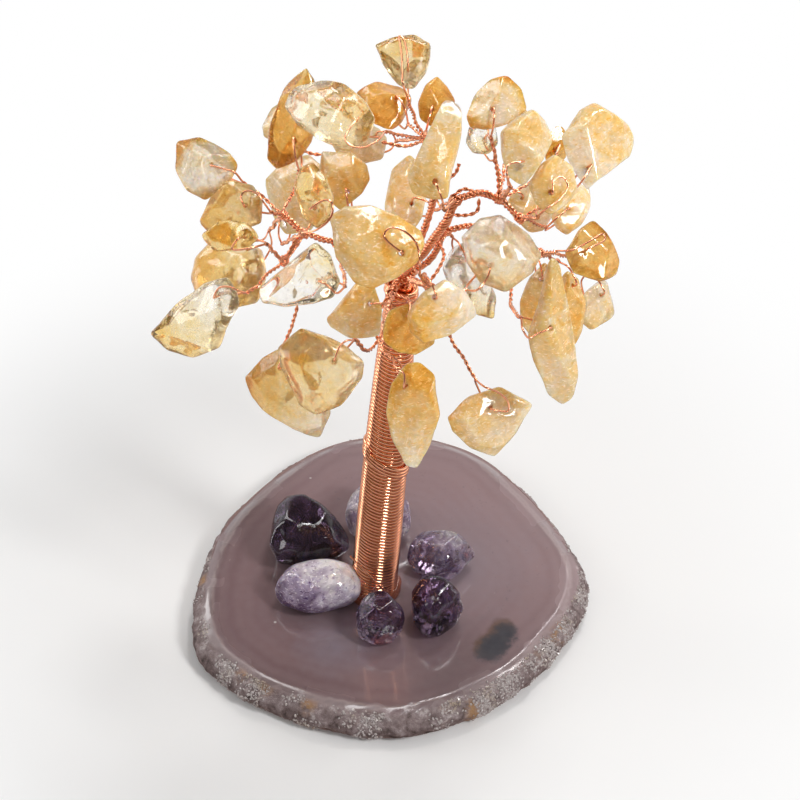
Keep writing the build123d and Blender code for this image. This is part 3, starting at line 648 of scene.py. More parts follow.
def clear_glue(recipe):
    """Hardened clear glue, its skin painted a dark copper red: a painted reflection of the copper under it.
    """
    place = recipe.place()
    waves = recipe.noise(place, 1.3 * MM, detail=2.0)
    # Painted reflection: the skin's dark copper red stands in for the copper seen in the clear glue
    copper_reflection_skin = recipe.surface(Base_Color=(0.42, 0.12, 0.06), Roughness=0.04, IOR=1.5, Coat_Weight=1.0,
                          Coat_Roughness=0.03, Normal=recipe.bump(waves, 0.9, 0.6 * MM))
    clear = recipe.node("ShaderNodeBsdfTransparent", None, {"Color": (1.0, 0.93, 0.9)})
    return recipe.mixed(0.4, clear, copper_reflection_skin)


def white_crystal(recipe):
    """Small white quartz points."""
    place = recipe.place()
    colour = tuple(bpy.context.scene.gem_tree_colours.crystal)
    stain = recipe.noise(place, 5 * MM, detail=2.0).rising(0.5, 0.75)
    colour = recipe.blend(stain * 0.7, colour, (0.34, 0.25, 0.16, 1.0))
    return recipe.surface(Base_Color=colour, Roughness=0.2, Coat_Weight=0.3)


MOSS_SPOTS = (((507, 631), 2.4 * MM), ((501, 638), 2.8 * MM), ((495, 645), 2.9 * MM),
              ((488, 653), 2.6 * MM))
# Bluish and hazy parts of the polished face, and a painted shade on its front right: the pixel, size,
# strength and colour of each
TINGES_AND_SHADE = (
    ((455, 560), 20 * MM, 0.35, (0.28, 0.27, 0.32, 1.0)),
    ((335, 645), 9 * MM, 0.4, (0.30, 0.29, 0.37, 1.0)),
    ((452, 672), 16 * MM, 0.6, (0.12, 0.085, 0.09, 1.0)),
)
# Ochre stains and white crusts on the rim, by the pixels that show them and their sizes
STAINS = (((375, 712), 2.0), ((549, 635), 3.0), ((247, 680), 1.8), ((268, 693), 1.6), ((310, 712), 1.5),
          ((509, 673), 1.6), ((474, 713), 1.6), ((205, 585), 1.5))
CRUSTS = (((232, 672), 2.6), ((301, 699), 2.6), ((346, 709), 2.8), ((372, 722), 2.2), ((557, 628), 3.0),
          ((546, 652), 2.6), ((519, 666), 2.8), ((501, 686), 3.0), ((483, 700), 3.0), ((445, 708), 2.6),
          ((262, 690), 2.4), ((213, 640), 2.0), ((575, 600), 2.6))
RIM_HEIGHT_SHARE = 0.5
LIP_WIDTH = 3 * MM
BAND_REACH = 30 * MM
# The way in plan towards which the polished face is painted lighter: painted light and shade
AGATE_LIT_WAY = Vector((0.75, 0.66, 0))


def banded_agate(recipe):
    """Banded agate, polished on top and rough round the rim."""
    place = recipe.place()
    wander = recipe.noise(place, 12 * MM, detail=3.0)
    inset = recipe.attribute("inset")
    ring = (inset / BAND_REACH + (wander - 0.5) * 0.10).limited()
    fine_bands = recipe.node("ShaderNodeMath", {"operation": "SINE"}, {0: inset * 2600 + wander * 14})
    # Bands by depth from the face's edge, with a painted glint just inside the edge
    banded = recipe.ramp(ring, AGATE_BANDS_AND_EDGE_GLINT)
    banded = recipe.blend((fine_bands * 0.5 + 0.5) * 0.06, banded, (0.40, 0.33, 0.35, 1.0))
    # Painted light and shade: the face is lighter towards the right and back and darker towards the left and
    # front
    lit_side = recipe.measure("DOT_PRODUCT", place, AGATE_LIT_WAY).rising(-0.03, 0.035)
    banded = recipe.blend(1 - lit_side, banded, (0.80, 0.78, 0.78, 1.0), "MULTIPLY")
    banded = recipe.blend(lit_side * 0.35, banded, (0.42, 0.31, 0.315, 1.0))
    # Bluish and hazy tinges, and a painted shade at the front right
    for pixel, size, strength, colour in TINGES_AND_SHADE:
        banded = recipe.blend(near_pixel(recipe, place, pixel, size) * strength, banded, colour)
    for pixel, size in MOSS_SPOTS:
        edge = near_pixel(recipe, place, (pixel[0] - 3, pixel[1] - 4), size * 1.2)
        banded = recipe.blend(edge.rising(0.1, 0.5) * 0.6, banded, (0.12, 0.065, 0.035, 1.0))
    for pixel, size in MOSS_SPOTS:
        fronds = recipe.noise(place, 0.8 * MM, detail=3.0) * 0.5
        moss = near_pixel(recipe, place, pixel, size * 1.25) + fronds - 0.25
        banded = recipe.blend(moss.rising(0.05, 0.6) * 0.9, banded, (0.045, 0.050, 0.062, 1.0))
    specks = recipe.cells(place, 7 * MM).rising(0.05, 0.02)
    banded = recipe.blend(specks * 0.8, banded, (0.6, 0.56, 0.55, 1.0))
    clouds = recipe.noise(place, 1.6 * MM, detail=4.0)
    rough = recipe.attribute("rough")
    coarse = recipe.noise(place, 1.0 * MM, detail=5.0, rough=0.7)
    lumps = recipe.noise(place, 3.2 * MM, detail=3.0, warp=1.0)
    height = recipe.node("ShaderNodeSeparateXYZ", None, {0: place}, output="Z")
    grey = (coarse * 0.5 + lumps * 0.5 + height.rising(0.0, SLICE_TOP) * 0.06 - 0.03).limited()
    stone = recipe.ramp(grey, (
        (0.34, (0.02, 0.015, 0.013)), (0.42, (0.10, 0.068, 0.066)), (0.5, (0.185, 0.132, 0.130)),
        (0.58, (0.26, 0.200, 0.200)), (0.68, (0.50, 0.44, 0.43))))
    crust = recipe.attribute("crust") * recipe.noise(place, 0.7 * MM, detail=3.0).rising(0.42, 0.6)
    stone = recipe.blend(crust * 0.8, stone, (0.42, 0.365, 0.355, 1.0))
    stain = recipe.attribute("stain") * recipe.noise(place, 1.2 * MM, detail=3.0).rising(0.4, 0.55)
    ochre = (stain * 0.8 + recipe.noise(place, 6 * MM).rising(0.6, 0.8) * 0.4).limited()
    stone = recipe.blend(ochre, stone, (0.36, 0.19, 0.07, 1.0))
    colour = recipe.blend(rough, recipe.blend(clouds * 0.12, banded, (0.42, 0.36, 0.38, 1.0)), stone)
    normal = recipe.bump(coarse, rough * 0.9, 0.35 * MM)
    worn = (1 - inset / LIP_WIDTH).limited() * recipe.noise(place, 9 * MM, detail=2.0).rising(0.56, 0.46)
    return recipe.surface(Base_Color=colour, Roughness=0.16 + rough * 0.42 + worn * (1 - rough) * 0.35,
                          Coat_Weight=0.6 * (1 - rough) * (1 - worn), Coat_Roughness=0.05, Normal=normal)


def near_pixel(recipe, place, pixel, size):
    """1 where a pixel shows the slice's face, down to 0 at a distance, with a ragged edge."""
    ragged = recipe.noise(place, 2.5 * MM, detail=4.0) * 1.1 - 0.55
    apart = recipe.measure("DISTANCE", place, seen_on_slice(pixel))
    return (1 - apart / size + ragged * 0.6).limited()


# Geometry Nodes


def geometry_recipe(name, inputs):
    """A Geometry Nodes tree with named inputs: gives the recipe and the inputs' values by name."""
    tree = bpy.data.node_groups.new(name, "GeometryNodeTree")
    tree.interface.new_socket("Geometry", in_out="OUTPUT", socket_type="NodeSocketGeometry")
    tree.interface.new_socket("Geometry", in_out="INPUT", socket_type="NodeSocketGeometry")
    for socket_name, kind in inputs:
        tree.interface.new_socket(socket_name, in_out="INPUT", socket_type="NodeSocket" + kind)
    recipe = Recipe(tree)
    entry = tree.nodes.new("NodeGroupInput")
    values = {socket.name: Value(recipe, socket) for socket in entry.outputs if socket.name}
    return recipe, values


def end_geometry(recipe, geometry, material, smooth=True):
    """Ends a tree: real geometry, with its material."""
    if smooth:
        geometry = recipe.node("GeometryNodeSetShadeSmooth", None, {"Geometry": geometry})
    real = recipe.node("GeometryNodeRealizeInstances", None, {"Geometry": geometry})
    covered = recipe.node("GeometryNodeSetMaterial", None, {"Geometry": real, "Material": material})
    recipe.feed(recipe.tree.nodes.new("NodeGroupOutput").inputs["Geometry"], covered)
    return recipe.tree


def ring_section(recipe, radius, sides):
    """The round section of a wire."""
    return recipe.node("GeometryNodeCurvePrimitiveCircle", None, {"Resolution": sides, "Radius": radius})


def swept(recipe, path, section):
    """A section carried along a path, with closed ends."""
    return recipe.node("GeometryNodeCurveToMesh", None, {
        "Curve": path, "Profile Curve": section, "Fill Caps": True})


def laid_wire_tree():
    """Strands laid round a path: one strand is a plain wire, two are a twig, more are a limb."""
    recipe, given = geometry_recipe("Laid Wire", (
        ("Strands", "Int"), ("Wire Radius", "Float"), ("Lay Radius", "Float"), ("Lay Length", "Float"),
        ("Step", "Float"), ("Sides", "Int"), ("Metal", "Material")))
    path = recipe.node("GeometryNodeMeshToCurve", None, {"Mesh": given["Geometry"]})
    path = recipe.node("GeometryNodeResampleCurve", {"mode": "LENGTH"}, {
        "Curve": path, "Length": given["Step"]})
    along = recipe.node("GeometryNodeSplineParameter", output="Length")
    turn = along * (2 * math.pi) / given["Lay Length"]
    path = recipe.node("GeometryNodeSetCurveTilt", None, {"Curve": path, "Tilt": turn})
    index = recipe.node("GeometryNodeInputIndex")
    angle = index * (2 * math.pi) / given["Strands"]
    spot = recipe.node("ShaderNodeCombineXYZ", None, {
        "X": angle.math("COSINE", angle) * given["Lay Radius"],
        "Y": angle.math("SINE", angle) * given["Lay Radius"]})
    spots = recipe.node("GeometryNodePoints", None, {"Count": given["Strands"], "Position": spot})
    circle = ring_section(recipe, given["Wire Radius"], given["Sides"])
    section = recipe.node("GeometryNodeInstanceOnPoints", None, {"Points": spots, "Instance": circle})
    section = recipe.node("GeometryNodeRealizeInstances", None, {"Geometry": section})
    return end_geometry(recipe, swept(recipe, path, section), given["Metal"])


def winding_tree():
    """Wire wound turn on turn round the tapering trunk, each turn tilted by the lean."""
    recipe, given = geometry_recipe("Trunk Winding", (
        ("Start", "Float"), ("Turns", "Float"), ("Pitch", "Float"), ("Steps", "Int"),
        ("Wire Radius", "Float"),
        ("Foot Radius", "Float"), ("Top Radius", "Float"), ("Trunk Length", "Float"), ("Taper", "Float"),
        ("Lean", "Float"), ("Lean In", "Float"), ("Lean Out", "Float"), ("Wobble", "Float"),
        ("Seed", "Float"), ("Metal", "Material")))
    index = recipe.node("GeometryNodeInputIndex")
    turn = index / given["Steps"]
    along = given["Start"] + given["Pitch"] * turn
    share = along.math("MAXIMUM", along / given["Trunk Length"], 0.0)
    core = given["Foot Radius"] + (given["Top Radius"] - given["Foot Radius"]) * share ** given["Taper"]
    ragged = recipe.wave(turn * 0.9 + given["Seed"], 2.0)
    radius = core + given["Wire Radius"] + (ragged + 0.25) * given["Wobble"]
    angle = turn * (2 * math.pi)
    across = angle.math("COSINE", angle) * radius
    back = angle.math("SINE", angle) * radius
    lean_in = (turn / given["Lean In"]).limited()
    lean_out = ((given["Turns"] - turn) / given["Lean Out"]).limited()
    shift = recipe.wave(turn * 1.7 + given["Seed"] + 40, 1.0)
    height = along - across * given["Lean"] * lean_in * lean_out + shift * given["Wobble"]
    spot = recipe.node("ShaderNodeCombineXYZ", None, {"X": across, "Y": back, "Z": height})
    line = recipe.node("GeometryNodeMeshLine", None, {"Count": given["Turns"] * given["Steps"] + 1})
    line = recipe.node("GeometryNodeSetPosition", None, {"Geometry": line, "Position": spot})
    path = recipe.node("GeometryNodeMeshToCurve", None, {"Mesh": line})
    circle = ring_section(recipe, given["Wire Radius"], 10)
    return end_geometry(recipe, swept(recipe, path, circle), given["Metal"])


def crystal_tree():
    """Small crystals strewn over the rough part of a surface."""
    recipe, given = geometry_recipe("Rim Crystals", (
        ("Density", "Float"), ("Size", "Float"), ("Seed", "Int"), ("Mineral", "Material")))
    rough, crust = (recipe.node("GeometryNodeInputNamedAttribute", {"data_type": "FLOAT"}, {"Name": name})
                    for name in ("rough", "crust"))
    clumps = recipe.noise(recipe.node("GeometryNodeInputPosition"), 4.5 * MM, detail=3.0).rising(0.54, 0.64)
    spots = recipe.node("GeometryNodeDistributePointsOnFaces", None, {
        "Mesh": given["Geometry"], "Density": given["Density"] * rough * (clumps * 0.35 + crust),
        "Seed": given["Seed"]})
    size = recipe.node("FunctionNodeRandomValue", {"data_type": "FLOAT_VECTOR"}, {
        0: (0.25,) * 3, 1: (1.5,) * 3, "Seed": given["Seed"]})
    turn = recipe.node("FunctionNodeRandomValue", {"data_type": "FLOAT_VECTOR"}, {
        0: (0.0, 0.0, 0.0), 1: (2 * math.pi,) * 3, "Seed": given["Seed"]})
    point = recipe.node("GeometryNodeMeshIcoSphere", None, {"Radius": given["Size"], "Subdivisions": 1})
    strewn = recipe.node("GeometryNodeInstanceOnPoints", None, {
        "Points": spots, "Instance": point, "Rotation": turn, "Scale": size})
    return end_geometry(recipe, strewn, given["Mineral"], smooth=False)


def grown(build, mesh, **inputs):
    """The plain mesh that a Geometry Nodes tree makes from a mesh and its inputs."""
    tree = bpy.data.node_groups.get(build.__name__) or build()
    tree.name = build.__name__
    work = bpy.data.objects.new("work", mesh)
    bpy.context.scene.collection.objects.link(work)
    modifier = work.modifiers.new("nodes", "NODES")
    modifier.node_group = tree
    for item in tree.interface.items_tree:
        key = item.name.lower().replace(" ", "_")
        if item.in_out == "INPUT" and key in inputs:
            modifier[item.identifier] = inputs[key]
    return plain_mesh(work)


def plain_mesh(work):
    """The mesh that an object's modifiers leave, as a mesh of its own."""
    bpy.context.view_layer.update()
    graph = bpy.context.evaluated_depsgraph_get()
    mesh = bpy.data.meshes.new_from_object(work.evaluated_get(graph))
    old = work.data
    bpy.data.objects.remove(work)
    if old.users == 0:
        bpy.data.meshes.remove(old)
    return mesh


def path_mesh(paths):
    """A mesh of edges, one line for each path."""
    points = [tuple(point) for path in paths for point in path]
    edges = []
    first = 0
    for path in paths:
        edges += [(first + index, first + index + 1) for index in range(len(path) - 1)]
        first += len(path)
    mesh = bpy.data.meshes.new("paths")
    mesh.from_pydata(points, edges, [])
    return mesh


def joined(meshes):
    """One mesh made of several that share their material."""
    shape = bmesh.new()
    for mesh in meshes:
        shape.from_mesh(mesh)
    whole = bpy.data.meshes.new("joined")
    for material in meshes[0].materials:
        whole.materials.append(material)
    shape.to_mesh(whole)
    shape.free()
    whole.polygons.foreach_set("use_smooth", [True] * len(whole.polygons))
    for mesh in meshes:
        bpy.data.meshes.remove(mesh)
    return whole


def laid_wire(paths, radius, step=0.2 * MM, strands=1, lay_radius=0.0, lay_length=1.0, sides=8):
    """Copper wire, or strands laid round one another, along some paths."""
    return grown(laid_wire_tree, path_mesh(paths), strands=strands, wire_radius=radius,
                 lay_radius=lay_radius, lay_length=lay_length, step=step, sides=sides,
                 metal=finish(bright_copper))


def turned(side, up, angle):
    """A way between two that are square to each other."""
    return side * math.cos(angle) + up * math.sin(angle)


def piece(name, mesh, body, nodes=()):
    """A finished piece of the tree: its mesh in place, riding on its body."""
    made = bpy.data.objects.new(name, mesh)
    mesh.name = name
    bpy.context.scene.collection.objects.link(made)
    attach(made, body)
    if nodes:
        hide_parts(*nodes)
    return made


# Stones


def node_copy(node):
    """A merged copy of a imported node's mesh."""
    mesh = frame["nodes"][node].data.copy()
    shape = bmesh.new()
    shape.from_mesh(mesh)
    bmesh.ops.remove_doubles(shape, verts=shape.verts, dist=0.001 * MM)
    shape.to_mesh(mesh)
    shape.free()
    mesh.materials.clear()
    return mesh


def even_mesh(mesh, grain):
    """The same shape in even squares."""
    work = bpy.data.objects.new("work", mesh)
    bpy.context.scene.collection.objects.link(work)
    remesh = work.modifiers.new("grid", "REMESH")
    remesh.mode = "VOXEL"
    remesh.voxel_size = grain
    remesh.use_smooth_shade = True
    return plain_mesh(work)


def smoothed(mesh, rounds):
    """The same mesh with its corners rubbed down."""
    work = bpy.data.objects.new("work", mesh)
    bpy.context.scene.collection.objects.link(work)
    smooth = work.modifiers.new("smooth", "SMOOTH")
    smooth.factor = 0.5
    smooth.iterations = rounds
    return plain_mesh(work)


def mesh_points(mesh):
    """A mesh's points as an array."""
    points = np.empty(len(mesh.vertices) * 3)
    mesh.vertices.foreach_get("co", points)
    return points.reshape(-1, 3)


def set_points(mesh, points):
    """Puts a mesh's points back."""
    mesh.vertices.foreach_set("co", points.ravel())
    mesh.update()


def carry(mesh, name, values):
    """Stores a number at each point of a mesh."""
    mesh.attributes.new(name, "FLOAT", "POINT").data.foreach_set("value", np.asarray(values, np.float32))


NOISE_SEED = 1


def cut_facets(points, facings, depths):
    """Flattens a shape where planes cut it, each plane at a depth below the shape's reach its way."""
    middle = points.mean(axis=0)
    for facing, depth in zip(facings, depths):
        facing = np.array(facing.normalized())
        reach = (points - middle) @ facing
        over = np.maximum(reach - (reach.max() - depth), 0)
        points = points - over[:, None] * facing
    return points


def smooth_noise(places):
    """A smooth vector noise at each place, the same in each run."""
    noise.seed_set(NOISE_SEED)
    return [noise.noise_vector(place) for place in places]


def ripple(points, size, height, seed):
    """Moves points by smooth noise, as a tumbled surface wanders."""
    offset = Vector((seed * 3.1, seed * 1.7, seed * 2.3))
    moves = smooth_noise([Vector(point) / size + offset for point in points])
    return points + np.array(moves) * height


def spread_to(points, outline, middle, normal):
    """Pushes a stone's rim out to the corners of the outline that the photograph shows."""
    corners = np.array([seen_on(pixel, middle, normal) for pixel in outline])
    centre = corners.mean(axis=0)
    side = np.array(normal.orthogonal().normalized())
    up = np.cross(np.array(normal), side)
    flat = np.stack([(points - centre) @ side, (points - centre) @ up], axis=1)
    edges = np.stack([(corners - centre) @ side, (corners - centre) @ up], axis=1)
    reach = np.hypot(*flat.T)
    angle = np.arctan2(flat[:, 1], flat[:, 0])
    turns = np.linspace(-math.pi, math.pi, 91)
    own, wanted = [], []
    for turn in turns:
        apart = np.abs((angle - turn + math.pi) % (2 * math.pi) - math.pi)
        own.append(reach[apart < 0.06].max())
        ray = np.array((math.cos(turn), math.sin(turn)))
        wanted.append(max(ray_reach(ray, *pair) for pair in zip(edges, np.roll(edges, -1, axis=0))))
    own = np.interp(angle, turns, own)
    gain = np.clip(np.interp(angle, turns, wanted) / own, 0.9, 1.22) - 1
    moves = flat * (gain * (reach / own) ** 2)[:, None]
    return points + moves[:, :1] * side + moves[:, 1:] * up


def ray_reach(ray, start, end):
    """How far a ray from the origin goes to the line between two points, or 0 where it passes beside it."""
    edge = end - start
    cross = ray[0] * edge[1] - ray[1] * edge[0]
    if abs(cross) < 1e-12:
        return 0.0
    far = (start[0] * edge[1] - start[1] * edge[0]) / cross
    share = (start[0] * ray[1] - start[1] * ray[0]) / cross
    return far if far > 0 and -0.01 <= share <= 1.01 else 0.0


def stone_mesh(node, outline, grain, facings, depths, seed, ripples, rounds, axis=None):
    """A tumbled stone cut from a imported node's shape, its corners as the outline has them."""
    mesh = even_mesh(node_copy(node), grain)
    points = mesh_points(mesh)
    if axis is None:
        points = spread_to(points, outline, Vector(points.mean(axis=0)), Vector((0, 0, 1)))
    else:
        points = spread_to(points, outline, HINGES[node][0], axis)
    low, high = points.min(axis=0), points.max(axis=0)
    points = cut_facets(points, facings, depths)
    for size, height in ripples:
        moved = ripple(points, size, height, seed) - points
        if axis is not None:
            moved = moved * RIM_RIPPLE_SHARE + np.outer(moved @ np.array(axis), axis) * (1 - RIM_RIPPLE_SHARE)
        points = points + moved
    set_points(mesh, points)
    mesh = smoothed(mesh, rounds)
    points = mesh_points(mesh)
    share = (points - points.min(axis=0)) / (points.max(axis=0) - points.min(axis=0))
    set_points(mesh, low + share * (high - low))
    return mesh


def carry_colour(mesh, look):
    """Stores a stone's tint and cloud, as its look says for its rim and its ends."""
    points = mesh_points(mesh)
    flat = points - (points.max(axis=0) + points.min(axis=0)) / 2
    across = flat @ np.array(SIGHT_RIGHT)
    above = flat @ np.array(SIGHT_UP)
    across = across / np.abs(across).max()
    above = above / np.abs(above).max()
    tint = np.full(len(points), look["tint"])
    rim_share = np.clip((np.hypot(across, above) - 0.72) / 0.28, 0, 1)
    tint += look.get("rim", 0.0) * rim_share
    if look["end"] is not None:
        angle = math.radians(look["end"])
        tint += look["gain"] * (across * math.cos(angle) + above * math.sin(angle))
    carry(mesh, "tint", tint)
    carry(mesh, "cloud", np.full(len(points), look["cloud"]))


FLAKE_REACH = (0.06, 0.2)
FLAKE_THICKNESS = 0.05 * MM
CLEAR_CLOUD = 0.55


def flake_mesh(mesh, look, seed, count):
    """Thin bright cracks inside a clear stone, as flat plates that lie in three directions."""
    dice = random.Random(seed)
    points = mesh_points(mesh)
    middle = points.mean(axis=0)
    size = (points.max(axis=0) - points.min(axis=0)).min()
    ways = [Vector([dice.uniform(-1, 1) for side in range(3)]).normalized() for index in range(3)]
    corners, faces = [], []
    for index in range(count):
        spot = Vector(middle + (points[dice.randrange(len(points))] - middle) * dice.uniform(0.1, 0.7))
        way = ways[index % 3]
        side = way.orthogonal().normalized()
        first = len(corners)
        for corner in range(5):
            turn = (corner + dice.uniform(-0.3, 0.3)) * 2 * math.pi / 5
            reach = dice.uniform(*FLAKE_REACH) * size
            corners.append(spot + (side * math.cos(turn) + way.cross(side) * math.sin(turn) * 0.5) * reach)
        corners += [spot + way * FLAKE_THICKNESS, spot - way * FLAKE_THICKNESS]
        for corner in range(5):
            after = first + (corner + 1) % 5
            faces += [(first + corner, after, first + 5), (after, first + corner, first + 6)]
    flakes = bpy.data.meshes.new("flakes")
    flakes.from_pydata(corners, [], faces)
    flakes.materials.append(mesh.materials[0])
    carry(flakes, "tint", np.full(len(corners), look["tint"] * 0.5))
    carry(flakes, "cloud", np.full(len(corners), 1.5))
    return flakes


def place_stone(node, mesh, look, seed, body, finish_stone, flakes):
    """Colours a stone, puts its cracks in and makes it the visual of its node."""
    mesh.materials.append(finish(finish_stone))
    carry_colour(mesh, look)
    if look["cloud"] < CLEAR_CLOUD:
        mesh = joined([mesh, flake_mesh(mesh, look, seed, flakes)])
    piece(node + "_stone", mesh, body, (node,))


HINGES = {joint["child"]: (Vector(joint["pos_m"]), Vector(joint["axis"]).normalized())
          for joint in frame["joints"]}
FACET_COUNT = 6
FACET_SPREAD = 0.75
CHIP_FACET_DEPTHS = (0.3 * MM, 1.1 * MM)
CHIP_RIPPLES = ((4.5 * MM, 0.5 * MM), (2.0 * MM, 0.08 * MM))
RIM_RIPPLE_SHARE = 0.4
CHIP_FLAKES = 4
AMETHYST_FLAKES = 16
AMETHYST_FACET_DEPTHS = (0.2 * MM, 0.9 * MM)
AMETHYST_RIPPLES = ((5 * MM, 0.6 * MM), (2.5 * MM, 0.15 * MM))


def chip_facings(axis, seed):
    """The ways that a chip's flats face, about its two broad sides, with a depth for each."""
    dice = random.Random(seed)
    facings, depths = [], []
    for index in range(2 * FACET_COUNT):
        side = 1 if index % 2 else -1
        lean = Vector((dice.uniform(-1, 1), dice.uniform(-1, 1), dice.uniform(-1, 1))) * FACET_SPREAD
        facings.append(axis * side + lean - axis * lean.dot(axis))
        depths.append(dice.uniform(*CHIP_FACET_DEPTHS))
    return facings, depths


def stone_facings(seed):
    """The ways that a lump's flats face, up and round, with a depth for each."""
    dice = random.Random(seed)
    facings, depths = [], []
    for index in range(2 * FACET_COUNT):
        turn = dice.uniform(0, 2 * math.pi)
        facings.append(Vector((math.cos(turn), math.sin(turn), dice.uniform(-0.1, 1.2))))
        depths.append(dice.uniform(*AMETHYST_FACET_DEPTHS))
    return facings, depths


class GEMTREE_OT_chips(bpy.types.Operator):
    """Make the citrine chips"""

    bl_idname = "gemtree.chips"
    bl_label = "Citrine Chips"

    def execute(self, context):
        grain = context.scene.gem_tree_sizes.chip_grain
        for seed, (node, look) in enumerate(CHIPS.items()):
            facings, depths = chip_facings(HINGES[node][1], seed)
            mesh = stone_mesh(node, look["outline"], grain, facings, depths, seed, CHIP_RIPPLES, 5,
                              HINGES[node][1])
            place_stone(node, mesh, look, seed, node, tumbled_citrine, CHIP_FLAKES)
        return {"FINISHED"}


class GEMTREE_OT_amethysts(bpy.types.Operator):
    """Make the amethysts round the trunk's foot"""

    bl_idname = "gemtree.amethysts"
    bl_label = "Amethysts"

    def execute(self, context):
        grain = context.scene.gem_tree_sizes.chip_grain
        for seed, (node, look) in enumerate(AMETHYSTS.items()):
            facings, depths = stone_facings(seed + 5)
            rounds = 10
            if node == "amethyst_front_left":
                depths = [depth * 0.2 for depth in depths]
                rounds = 30
            mesh = stone_mesh(node, look["outline"], grain, facings, depths, seed, AMETHYST_RIPPLES, rounds)
            place_stone(node, mesh, look, seed, TREE, tumbled_amethyst, AMETHYST_FLAKES)
        return {"FINISHED"}


# The slice

SLICE_GRAIN = 0.5 * MM
OUTLINE_STEPS = 5
RIM_START = 0.35 * MM
BACK_LIP = 1.7 * MM
LIP_FROM = -12 * MM
LIP_TO = 16 * MM
RIM_RIPPLES = ((7 * MM, 0.55 * MM), (2.2 * MM, 0.4 * MM), (0.9 * MM, 0.22 * MM))


class GEMTREE_OT_slice(bpy.types.Operator):
    """Make the agate slice and the crystals on its rim"""

    bl_idname = "gemtree.slice"
    bl_label = "Agate Slice"

    def execute(self, context):
        mesh = even_mesh(node_copy("agate_slice"), SLICE_GRAIN)
        points = mesh_points(mesh)
        top = points[:, 2] > SLICE_TOP - RIM_START
        under = points[:, 2] < RIM_START
        outline = face_outline(points[top])
        inset = inset_from(outline, points)
        lip = BACK_LIP * np.clip((points[:, 1] - LIP_FROM) / (LIP_TO - LIP_FROM), 0, 1)
        rough = np.clip((SLICE_TOP - RIM_START - lip - points[:, 2]) / (0.5 * MM), 0, 1)
        rough[under] = 0
        for seed, (size, height) in enumerate(RIM_RIPPLES):
            moved = ripple(points, size, height, seed + 3)
            share = (rough * np.clip(points[:, 2] / (1.2 * MM), 0, 1))[:, None]
            points = points + (moved - points) * share
        points[:, 2] = np.clip(points[:, 2], 0, SLICE_TOP)
        set_points(mesh, points)
        carry(mesh, "rough", rough)
        carry(mesh, "inset", inset)
        carry(mesh, "crust", nearness(points, CRUSTS))
        carry(mesh, "stain", nearness(points, STAINS))
        mesh.materials.append(finish(banded_agate))
        piece("agate_slice_stone", mesh, TREE, ("agate_slice",))
        crystals = grown(crystal_tree, mesh.copy(), density=context.scene.gem_tree_sizes.rim_crystals / MM**2,
                         size=0.25 * MM, seed=4, mineral=finish(white_crystal))
        piece("rim_crystals", crystals, TREE)
        return {"FINISHED"}


def nearness(points, spots):
    """1 at the spots of the rim that pixels show, down to 0 at their sizes in millimetres."""
    near = np.zeros(len(points))
    level = Vector((0, 0, SLICE_TOP * RIM_HEIGHT_SHARE))
    for pixel, size in spots:
        spot = np.array(seen_on(pixel, level, Vector((0, 0, 1))))
        apart = np.hypot(points[:, 0] - spot[0], points[:, 1] - spot[1])
        near = np.maximum(near, np.clip(1.4 * (1 - apart / (size * MM * 1.3)), 0, 1))
    return near


def face_outline(points):
    """The outermost points of a flat set, by angle about the origin."""
    angles = np.arctan2(points[:, 1], points[:, 0])
    reach = np.hypot(points[:, 0], points[:, 1])
    outline = []
    for start in np.linspace(-math.pi, math.pi, 241)[:-1]:
        chosen = (angles >= start) & (angles < start + 2 * math.pi / 240)
        if chosen.any():
            best = np.argmax(np.where(chosen, reach, 0))
            outline.append(points[best, :2])
    shares = np.arange(len(outline) * OUTLINE_STEPS) / OUTLINE_STEPS
    outline.append(outline[0])
    outline = np.array(outline)
    return np.stack([np.interp(shares, range(len(outline)), outline[:, axis]) for axis in (0, 1)], axis=1)


def inset_from(outline, points):
    """How far each point lies from an outline, in plan."""
    apart = np.full(len(points), 1.0)
    for spot in outline:
        apart = np.minimum(apart, np.hypot(points[:, 0] - spot[0], points[:, 1] - spot[1]))
    return apart


class GEMTREE_OT_glue(bpy.types.Operator):
    """Make the clear glue round the trunk's foot"""

    bl_idname = "gemtree.glue"
    bl_label = "Glue"

    def execute(self, context):
        mesh = even_mesh(node_copy("foot_glue"), 0.3 * MM)
        points = ripple(mesh_points(mesh), 2.5 * MM, 0.5 * MM, 2)
        points[:, 2] = np.maximum(points[:, 2], SLICE_TOP)
        set_points(mesh, points)
        mesh = smoothed(mesh, 4)
        mesh.materials.append(finish(clear_glue))
        piece("foot_glue_blob", mesh, TREE, ("foot_glue",))
        return {"FINISHED"}


# The trunk

WINDING_STEPS = 56
WINDING_LEAN = 0.25
LOWER_WINDING = (0.45 * MM, 32.4 * MM)
UPPER_WINDING = (33.1 * MM, 62.8 * MM)
CROSSING = (31.4 * MM, 34.2 * MM)
TOP_WRAPS = (63.4 * MM, 69.2 * MM)
TOP_RING = (68.6 * MM, 70.4 * MM)
LOOSE_STEP = 0.25 * MM

# Loose wires at the trunk's foot and its crossing: pixels and how far in front of the trunk's axis
FOOT_ENDS = (
    (((350, 556), 4.6), ((357, 563), 5.0), ((368, 574), 5.6), ((381, 588), 6.0), ((388, 594), 5.8)),
    (((375, 596), 6.4), ((374, 589), 6.6), ((379, 585), 6.8), ((385, 588), 6.6), ((389, 594), 6.0)),
)


# The small coil of wire ends that stands on the trunk's top: pixels and distances behind the foot
COIL_FROM = ((403, 282), 4.0 * MM)
COIL_TO = ((413, 270), 4.5 * MM)
COIL_TURNS = 4
COIL_STEPS = 24
COIL_RADIUS = 1.05 * MM


